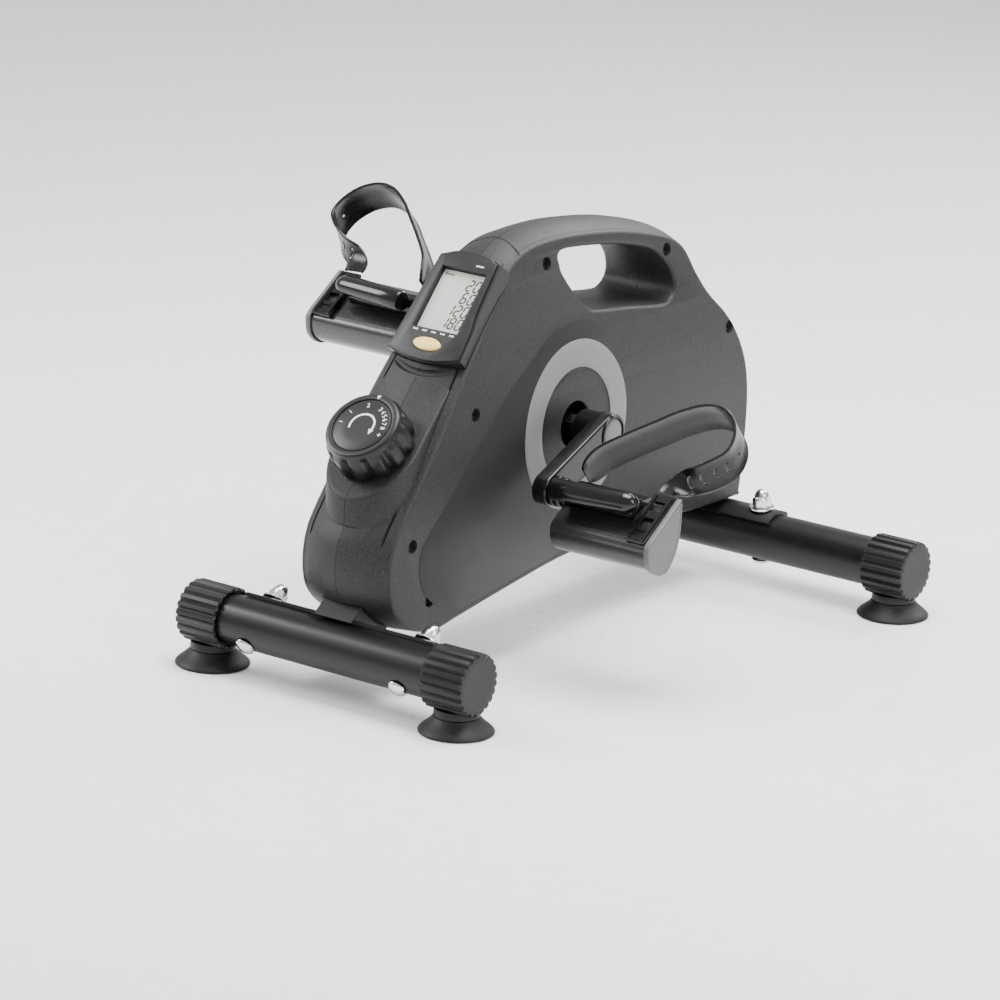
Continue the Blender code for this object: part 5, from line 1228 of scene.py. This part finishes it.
# %% Small printed marks round the display
marks = bmesh.new()
for index in range(5):
    x = -0.0165 + index * 0.0082
    for part in range(3):
        low = (x + part * 0.0015 - 0.0015, base_y - 0.0036)
        flat_shape(marks, [low, (low[0] + 0.0010, low[1]), (low[0] + 0.0011, low[1] + 0.0013),
                           (low[0] + 0.0001, low[1] + 0.0013)], -0.0001, 0.00006, on_console)
top_y = WINDOW_UP + WINDOW_LONG / 2 + 0.0045
for part in range(4):
    low = (0.0085 + part * 0.0018, top_y)
    flat_shape(marks, [low, (low[0] + 0.0012, low[1]), (low[0] + 0.0012, low[1] + 0.0013),
                       (low[0], low[1] + 0.0013)], -0.0001, 0.00006, on_console)
bmesh.ops.recalc_face_normals(marks, faces=marks.faces)
keep(mesh_object("console_marks", marks), "print_white", "base", sharp=20)

# %% [markdown]
# The one button is a soft yellow oval that stands a little above the console and gives way under
# a thumb. Its edge is well rounded and its top slightly domed.

# %% Button
shape = [(1.0, -0.0030), (1.0, 0.0003), (0.985, 0.0008), (0.94, 0.0012), (0.86, 0.00145),
         (0.6, 0.0016), (0.3, 0.0017)]
button = loft([oval(0.01225 * share, 0.00525 * share, height) for share, height in shape])
keep(mesh_object("oval_button", button), "button_yellow", "button", "mode_button", sharp=40)
print("button at", [round(c, 4) for c in on_console(0, BUTTON_UP, 0)])

# %% [markdown]
# ## Brake knob
# The knob is a deep cup with broad scallops round its skirt and a flat face. On the face lie an
# outer ring, a shallow groove and a label disc with the numbers 1 to 8, a curved arrow, and a
# minus and a plus sign.

# %% Knob body
KNOB_TOP = 0.0272
LOBES = 12


def knob_ring(radius, depth, height, count=240):
    ring = []
    for step in range(count):
        turn = 2 * math.pi * step / count
        dip = max(0.0, math.cos(LOBES * turn) + 0.25) / 1.25
        reach = radius - depth * dip ** 1.2
        ring.append((reach * math.cos(turn), reach * math.sin(turn), height))
    return ring


def level_ring(radius, height):
    return knob_ring(radius, 0, height)


knob_rings = [knob_ring(0.0300, 0.0022, 0.0012), knob_ring(0.0315, 0.0028, 0.0020),
              knob_ring(0.0320, 0.0030, 0.0034), knob_ring(0.0314, 0.0030, KNOB_TOP - 0.0085),
              knob_ring(0.0308, 0.0026, KNOB_TOP - 0.0068),
              knob_ring(0.0299, 0.0010, KNOB_TOP - 0.0052), level_ring(0.0291, KNOB_TOP - 0.0036),
              level_ring(0.0289, KNOB_TOP - 0.0014), level_ring(0.0284, KNOB_TOP - 0.0005),
              level_ring(0.0275, KNOB_TOP), level_ring(0.0237, KNOB_TOP),
              level_ring(0.0234, KNOB_TOP - 0.0006), level_ring(0.0229, KNOB_TOP - 0.0006),
              level_ring(0.0226, KNOB_TOP - 0.0002), level_ring(0.0100, KNOB_TOP - 0.0002)]
knob = mesh_object("brake_knob", loft(knob_rings), 1, KNOB_FRAME)
seat = turned([(0, -0.001), (0.0043, -0.001), (0.0043, 0.0150), (0, 0.0150)], "Z", 40)
combine(knob, [mesh_object("seat", seat, 1, KNOB_FRAME)])
keep(knob, "knob_plastic", "knob", "tension_knob", sharp=30)

cap_rings = [level_ring(radius, height) for radius, height in
             ((0.0224, KNOB_TOP - 0.0004), (0.0224, KNOB_TOP - 0.00005), (0.0221, KNOB_TOP + 0.0001),
              (0.0120, KNOB_TOP + 0.0001))]
keep(mesh_object("knob_label_disc", loft(cap_rings), 1, KNOB_FRAME), "knob_face", "knob")
rim = [level_ring(radius, height) for radius, height in
       ((0.0274, KNOB_TOP - 0.0002), (0.0274, KNOB_TOP + 0.0002), (0.0271, KNOB_TOP + 0.00035),
        (0.0242, KNOB_TOP + 0.00035), (0.0239, KNOB_TOP + 0.0002), (0.0239, KNOB_TOP - 0.0002))]
keep(mesh_object("knob_face_ring", loft(rim, closed=True), 1, KNOB_FRAME), "knob_face", "knob")
print("knob at", [round(c, 4) for c in knob_origin])

# %% Marks on the knob
LABEL_Z = KNOB_TOP + 0.0001


def on_knob(x, y, height):
    return (x, y, LABEL_Z + height)


def printed(name, work):
    bmesh.ops.recalc_face_normals(work, faces=work.faces)
    return keep(mesh_object(name, work, 1, KNOB_FRAME), "print_white", "knob", sharp=20)


PRINT_LOW, PRINT_HIGH = -0.00005, 0.00006
ARROW_START, ARROW_END = math.radians(205), math.radians(-12)
ARROW_RADIUS, ARROW_HALF = 0.0100, 0.0008
ARROW_STEPS = 48
band = bmesh.new()
outer = arc((0, 0), ARROW_RADIUS + ARROW_HALF, ARROW_START, ARROW_END, ARROW_STEPS)
inner = arc((0, 0), ARROW_RADIUS - ARROW_HALF, ARROW_START, ARROW_END, ARROW_STEPS)
for index in range(ARROW_STEPS):
    quad = [outer[index], outer[index + 1], inner[index + 1], inner[index]]
    flat_shape(band, quad, PRINT_LOW, PRINT_HIGH, on_knob)
tip = Vector((math.cos(ARROW_END), math.sin(ARROW_END))) * 0.0098
head = [(tip.x - 0.0021, tip.y + 0.0006), (tip.x + 0.0023, tip.y + 0.0003),
        (tip.x - 0.0002, tip.y - 0.0042)]
flat_shape(band, head, PRINT_LOW, PRINT_HIGH, on_knob)
bmesh.ops.remove_doubles(band, verts=band.verts, dist=1e-7)
signs = bmesh.new()
for x, y, wide, high in ((-0.0186, -0.0010, 0.0030, 0.0006), (0.0182, -0.0045, 0.0030, 0.0006),
                         (0.0182, -0.0045, 0.0006, 0.0030)):
    flat_shape(signs, [(x - wide / 2, y - high / 2), (x + wide / 2, y - high / 2),
                       (x + wide / 2, y + high / 2), (x - wide / 2, y + high / 2)],
               PRINT_LOW, PRINT_HIGH, on_knob)
flat_shape(signs, [(-0.0017, 0.0273), (0.0017, 0.0273), (0.0, 0.0240)], 0.0001, 0.00035, on_knob)
printed("knob_arrow", band)
printed("knob_signs", signs)

NUMBER_TURNS = (150, 104, 66, 53, 41, 29, 17, 5)
NUMBER_RADIUS, NUMBER_SIZE = 0.0178, 0.0052
for number, degrees in enumerate(NUMBER_TURNS, 1):
    words = bpy.data.curves.new(f"dial_number_{number}", "FONT")
    words.body = str(number)
    words.size = NUMBER_SIZE
    words.extrude = 0.00005
    words.align_x, words.align_y = "CENTER", "CENTER"
    writing = bpy.data.objects.new("writing", words)
    bpy.context.collection.objects.link(writing)
    graph = bpy.context.evaluated_depsgraph_get()
    flat = bpy.data.meshes.new_from_object(writing.evaluated_get(graph))
    bpy.data.objects.remove(writing)
    turn = math.radians(degrees)
    place = KNOB_FRAME @ Matrix.Translation((NUMBER_RADIUS * math.cos(turn),
                                             NUMBER_RADIUS * math.sin(turn), LABEL_Z))
    flat.transform(place @ Matrix.Rotation(turn - math.pi / 2, 4, "Z"))
    item = bpy.data.objects.new(f"dial_number_{number}", flat)
    bpy.context.collection.objects.link(item)
    keep(item, "print_white", "knob", sharp=20)
print("knob numbers:", len(NUMBER_TURNS))

# %% [markdown]
# ## Cranks
# Each crank is a forged bar: a round boss on the axle, a straight arm and a round eye for the
# pedal. Forging and enamel leave every edge rounded, and that thin bright edge is most of what
# one sees of a glossy black part.

# %% Crank arms
CRANK_LENGTH = 0.078
CRANK_OUT = 0.0745
CRANK_IN = CRANK_OUT - 0.013
BOSS_RADIUS, EYE_RADIUS = 0.0145, 0.0120
CRANK_EDGE = 0.0016             # rounding of the forged bar's edges
CRANK_TURNS = {"right": math.radians(202), "left": math.radians(112)}


def crank_arm(side_name, side):
    heading = CRANK_TURNS[side_name]
    end = (CRANK_LENGTH * math.cos(heading), CRANK_LENGTH * math.sin(heading))
    line = arc((0, 0), BOSS_RADIUS, heading + math.pi / 2, heading + 3 * math.pi / 2, 40)
    line += arc(end, EYE_RADIUS, heading - math.pi / 2, heading + math.pi / 2, 36)
    rings = []
    for step in range(5):
        bend = math.pi / 2 * step / 4
        inset, off = CRANK_EDGE * (1 - math.sin(bend)), CRANK_EDGE * (1 - math.cos(bend))
        rings.append([(CRANK_IN + off, y, z) for y, z in inward(line, inset)])
    rings += [[(CRANK_OUT - (x[0] - CRANK_IN), x[1], x[2]) for x in ring]
              for ring in reversed(rings)]
    place = Vector((0, CRANK.y, CRANK.z))
    arm = mesh_object(side_name + "_crank", loft(rings), side, place)
    boss = turned(softened([(0, 0.046), (0.0135, 0.046), (0.0135, 0.0700), (0, 0.0700)], 0.001),
                  segments=96)
    collar = turned(softened([(0, 0.0700), (0.0143, 0.0700), (0.0138, CRANK_OUT + 0.0012),
                              (0, CRANK_OUT + 0.0012)], 0.0009), segments=96)
    combine(arm, [mesh_object("boss", boss, side, place), mesh_object("rim", collar, side, place)],
            "UNION")
    bore = turned([(0, 0.045), (0.0083, 0.045), (0.0083, 0.0690), (0.0117, 0.0690),
                   (0.0117, 0.08), (0, 0.08)], segments=96)
    eye = turned([(0, 0.04), (0.0053, 0.04), (0.0053, 0.09), (0, 0.09)], segments=48)
    combine(arm, [mesh_object("bore", bore, side, place),
                  mesh_object("eye", eye, side, place + Vector((0, *end)))])
    keep(arm, "crank_paint", "crank", side_name + "_crank_arm", sharp=30)
    cap = turned([(0, 0.0704), (0.0113, 0.0704), (0.0113, CRANK_OUT - 0.0004),
                  (0.0108, CRANK_OUT + 0.0002), (0.0098, CRANK_OUT + 0.0005),
                  (0.0060, CRANK_OUT + 0.0008), (0, CRANK_OUT + 0.0009)], segments=96)
    keep(mesh_object(side_name + "_boss_cap", cap, side, place), "dust_cap_grey", "crank",
         side_name + "_dust_cap")
    return place + Vector((0, *end))


PEDAL_AXIS = {side_name: crank_arm(side_name, side) for side, side_name in SIDES}
print({name: [round(c, 4) for c in spot] for name, spot in PEDAL_AXIS.items()})

# %% [markdown]
# ## Pedals
# A pedal is a gloss black carrier on a steel spindle. Two collars stand next to the crank, a
# thick rounded bar runs along the heel edge, and a satin grey weight hangs below so that the
# strap always faces up. The weight's section is a curve, so its light shades from bright to dark.

# %% Pedal carrier
BAR_RADIUS = 0.0082
HUB_END = 0.150


def pedal_carrier(side_name, side):
    place = PEDAL_AXIS[side_name]
    hub = [(0, 0.0752), (0.0104, 0.0752), (0.0113, 0.0757), (0.0115, 0.0766), (0.0115, 0.0786),
           (0.0111, 0.0794), (0.0098, 0.0798), (0.0098, 0.0808), (0.0106, 0.0811),
           (0.0111, 0.0818), (0.0111, 0.0844), (0.0107, 0.0853), (0.0098, 0.0858),
           (0.0090, 0.0861), (0.0090, HUB_END - 0.0008), (0.0082, HUB_END), (0, HUB_END)]
    carrier = mesh_object(side_name + "_pedal_carrier", turned(hub, segments=72), side, place)
    tread = loft([[(x, y, z) for y, z in ((-0.0180, 0.0030), (0.0145, 0.0030), (0.0145, 0.0070),
                                          (0.0140, 0.0075), (-0.0180, 0.0075))]
                  for x in (0.0885, HUB_END + 0.001)])
    start, end = Vector((0.0875, -0.0222, 0.0088)), Vector((0.1575, -0.0118, 0.0088))
    run = (end - start).normalized()
    flat = Vector((-run.y, run.x, 0))
    length = (end - start).length
    stations = [(0.0, 0.72, 0.72), (0.0006, 0.88, 0.88), (0.0018, 0.98, 0.98),
                (length * 0.3, 1.0, 1.0), (length * 0.6, 1.04, 1.0)]
    for step in range(9):
        bend = math.pi / 2 * step / 9
        stations.append((length - 0.011 + 0.011 * math.sin(bend), 1.06 * math.cos(bend),
                         math.cos(bend)))
    stations.append((length, 0.08, 0.08))
    rings = []
    for along, wide, tall in stations:
        rings.append([start + run * along + flat * (wide * a) + Vector((0, 0, tall * b))
                      for a, b in arc((0, 0), BAR_RADIUS, 0, 2 * math.pi, 40)[:-1]])
    combine(carrier, [mesh_object("tread", tread, side, place),
                      mesh_object("bar", loft(rings), side, place)], "UNION")
    bore = turned([(0, 0.05), (0.0054, 0.05), (0.0054, 0.1483), (0, 0.1483)], segments=48)
    combine(carrier, [mesh_object("bore", bore, side, place)])
    keep(carrier, "pedal_gloss", side_name + "_pedal", side_name + "_pedal_frame", sharp=34)


# %% Levelling weight and its end plate
WEIGHT_TOP = [(-0.0200, -0.0145), (0.0050, 0.0026), (0.0145, 0.0026)]
WEIGHT_CURVE = [(0.0140, -0.0090), (0.0120, -0.0210), (0.0070, -0.0320), (0.0000, -0.0395),
                (-0.0080, -0.0405), (-0.0165, -0.0370), (-0.0225, -0.0300), (-0.0240, -0.0200)]
PLATE_CURVE = [(-0.0225, -0.0140), (-0.0050, -0.0020), (0.0125, 0.0100), (0.0155, 0.0085),
               (0.0155, -0.0090), (0.0132, -0.0220), (0.0075, -0.0335), (0.0000, -0.0410),
               (-0.0080, -0.0420), (-0.0170, -0.0385), (-0.0240, -0.0310), (-0.0258, -0.0200)]
BLOCK_IN, BLOCK_OUT = 0.088, 0.1735
PLATE_THICKNESS = 0.0045


def pedal_weight(side_name, side):
    place = PEDAL_AXIS[side_name]
    curve = [tuple(p)[:2] for p in flowing([(*p, 0) for p in [WEIGHT_TOP[2]] + WEIGHT_CURVE
                                            + [WEIGHT_TOP[0]]], 6)]
    section = [WEIGHT_TOP[0], WEIGHT_TOP[1]] + curve[:-1]
    rings = [[(BLOCK_IN, y, z) for y, z in inward(section, 0.0008)],
             [(BLOCK_IN + 0.0008, y, z) for y, z in section],
             [(BLOCK_OUT + 0.001, y, z) for y, z in section]]
    weight = mesh_object(side_name + "_levelling_weight", loft(rings), side, place)
    room = turned([(0, 0.05), (0.0093, 0.05), (0.0093, HUB_END + GAP), (0, HUB_END + GAP)],
                  segments=48)
    combine(weight, [mesh_object("room", room, side, place)])
    keep(weight, "weight_grey", side_name + "_pedal", side_name + "_pedal_weight", sharp=30)
    plate = [tuple(p)[:2] for p in flowing([(*p, 0) for p in PLATE_CURVE], 6, True)]
    rings = [[(BLOCK_OUT, y, z) for y, z in inward(plate, 0.0002)],
             [(BLOCK_OUT + 0.0004, y, z) for y, z in plate],
             [(BLOCK_OUT + 0.0036, y, z) for y, z in plate],
             [(BLOCK_OUT + 0.0043, y, z) for y, z in inward(plate, 0.0004)],
             [(BLOCK_OUT + PLATE_THICKNESS, y, z) for y, z in inward(plate, 0.0011)],
             [(BLOCK_OUT + PLATE_THICKNESS, y, z) for y, z in inward(plate, 0.0019)],
             [(BLOCK_OUT + 0.0041, y, z) for y, z in inward(plate, 0.0023)]]
    keep(mesh_object(side_name + "_weight_end_plate", loft(rings), side, place), "plate_grey",
         side_name + "_pedal", sharp=40)


# %% [markdown]
# ## Buckle and strap
# The moulded strap starts beside the crank, rises over the foot and comes back down to a ladder
# buckle on the weight's slope. Its border is a raised lip, and its outer tail has a row of
# D-shaped holes that a peg can catch in.

# %% Buckle
low_end, high_end = Vector((0, *WEIGHT_TOP[0])), Vector((0, *WEIGHT_TOP[1]))
buckle_run = (high_end - low_end).normalized()
buckle_out = Vector((0, -buckle_run.z, buckle_run.y))


BUCKLE_WIDTH = 0.018


def on_buckle(a, b, x):
    point = low_end + buckle_run * a + buckle_out * b
    return (x, point.y, point.z)


def buckle(side_name, side):
    place = PEDAL_AXIS[side_name]
    high_x = BLOCK_OUT - GAP
    low_x = high_x - BUCKLE_WIDTH
    profile = softened([(-0.004, 0.0018), (-0.004, 0.0003), (0.042, 0.0003), (0.042, 0.0033),
                        (-0.004, 0.0033), (-0.004, 0.0018)], 0.0009)[:-1]
    rings = [[on_buckle(a, b, low_x) for a, b in inward(profile, 0.0004)],
             [on_buckle(a, b, low_x + 0.0004) for a, b in profile],
             [on_buckle(a, b, high_x - 0.0004) for a, b in profile],
             [on_buckle(a, b, high_x) for a, b in inward(profile, 0.0004)]]
    plate = mesh_object(side_name + "_ladder_buckle", loft(rings), side, place)
    walls = []
    for x in (low_x + 0.0011, high_x - 0.0035):
        rail = [[on_buckle(a, b, x + t) for a, b in ((-0.0035, 0.002), (0.0405, 0.002),
                                                     (0.0400, 0.0045), (-0.0030, 0.0045))]
                for t in (0, 0.0024)]
        walls.append(mesh_object("rail", loft(rail), side, place))
    combine(plate, walls, "UNION")
    windows = []
    for along in (0.010, 0.026):
        hole = prism([(along, -0.003), (along + 0.009, -0.003), (along + 0.009, 0.009),
                      (along, 0.009)], low_x + 0.0045, high_x - 0.0045, on_buckle)
        windows.append(mesh_object("window", hole, side, place))
    lip = prism([(0.0015, 0.0024), (0.0065, 0.0024), (0.0065, 0.009), (0.0015, 0.009)],
                low_x + 0.0045, high_x - 0.0045, on_buckle)
    windows.append(mesh_object("dip", lip, side, place))
    combine(plate, windows)
    keep(plate, "strap_rubber", side_name + "_pedal", side_name + "_buckle", sharp=30)


# %% Strap
STRAP_POINTS = [(0.0940, 0.0119, 0.0123, 0), (0.0950, 0.0172, 0.0167, 0),
                (0.1010, 0.0272, 0.0251, 0), (0.1160, 0.0394, 0.0354, 0),
                (0.1330, 0.0517, 0.0456, 0), (0.1460, 0.0609, 0.0534, 0),
                (0.1620, 0.0685, 0.0598, 0), (0.1770, 0.0700, 0.0610, 0),
                (0.1910, 0.0647, 0.0566, 0), (0.2000, 0.0547, 0.0482, 0),
                (0.2020, 0.0440, 0.0392, 0), (0.1965, 0.0365, 0.0325, 0.15),
                (0.1860, 0.0305, 0.0255, 0.40), (0.1740, 0.0265, 0.0205, 0.75),
                (0.1655, 0.0212, 0.0159, 0.97), (0.1643, 0.0157, 0.0122, 1.0)]
STRAP_STEPS = 8
STRAP_TILT = math.radians(40)
STRAP_WIDTH, TAIL_WIDTH = 0.029, 0.017
ROOT_STATIONS = 14              # the band widens from its root over this many stations
SLOT_STATIONS = (84, 90, 96, 102)
PEG_STATION = 76


def strap_stations():
    """Middle, half width vector and outward unit vector at each station of the strap."""
    across = Vector((0, -math.sin(STRAP_TILT), math.cos(STRAP_TILT)))
    path = flowing([point[:3] for point in STRAP_POINTS], STRAP_STEPS)
    twists = [point[3] for point in STRAP_POINTS]
    stations = []
    for index, point in enumerate(path):
        span = min(index // STRAP_STEPS, len(twists) - 2)
        share = index / STRAP_STEPS - span
        twist = twists[span] + (twists[span + 1] - twists[span]) * share
        run = (path[min(index + 1, len(path) - 1)] - path[max(index - 1, 0)]).normalized()
        wide = across.lerp(Vector((-1, 0, 0)), twist)
        out = run.cross(wide).normalized()
        rooted = min(index / ROOT_STATIONS, 1.0)
        half = (STRAP_WIDTH + (TAIL_WIDTH - STRAP_WIDTH) * twist) / 2
        half = half * (0.55 + 0.45 * math.sin(rooted * math.pi / 2))
        stations.append((point, out.cross(run).normalized() * half, out, run))
    return stations


def strap_section(half):
    """Half section of the band, as share of half width and thickness: thin with raised lips."""
    lip = 0.0016 / half
    side = [(1.0, 0.00060), (1.0, -0.00060), (1 - lip * 0.3, -0.00115), (1 - lip, -0.00120),
            (1 - lip * 1.5, -0.00070)]
    lower = side + [(0.3, -0.00062), (-0.3, -0.00062)] + [(-a, b) for a, b in reversed(side[1:])]
    return lower + [(-a, -b) for a, b in lower]


def foot_strap(side_name, side):
    place = PEDAL_AXIS[side_name]
    stations = strap_stations()
    rings = []
    for point, wide, out, _ in stations:
        rings.append([point + wide * a + out * b for a, b in strap_section(wide.length)])
    strap = mesh_object(side_name + "_strap", loft(rings), side, place)
    cutters = []
    for index in SLOT_STATIONS:
        point, wide, out, run = stations[index]
        edge = wide.normalized()

        def on_band(a, b, height):
            return tuple(point + run * a + edge * b + out * height)

        reach = min(0.0052, wide.length * 0.48)
        turns = [math.radians(-115 + 230 * s / 16) for s in range(17)]
        outer = [(0.0030 * math.cos(t), reach * math.sin(t)) for t in turns]
        outer += [(0.0016 * math.cos(t) - 0.0002, (reach - 0.0015) * math.sin(t))
                  for t in reversed(turns)]
        cutters.append(mesh_object("slot", prism(outer, -0.004, 0.004, on_band), side, place))
    point, wide, out, run = stations[PEG_STATION]
    edge = wide.normalized()
    spot = [(0.0013 * math.cos(t), 0.0013 * math.sin(t))
            for t in (2 * math.pi * s / 16 for s in range(16))]
    hole = loft([[tuple(point + run * a + edge * b + out * h) for a, b in spot]
                 for h in (-0.004, 0.004)])
    cutters.append(mesh_object("hole", hole, side, place))
    combine(strap, cutters)
    keep(strap, "strap_rubber", side_name + "_pedal", side_name + "_foot_strap", sharp=40)


# %% Both pedals
for side, side_name in SIDES:
    pedal_carrier(side_name, side)
    pedal_weight(side_name, side)
    buckle(side_name, side)
    foot_strap(side_name, side)
print("all pieces:", len(made_pieces))
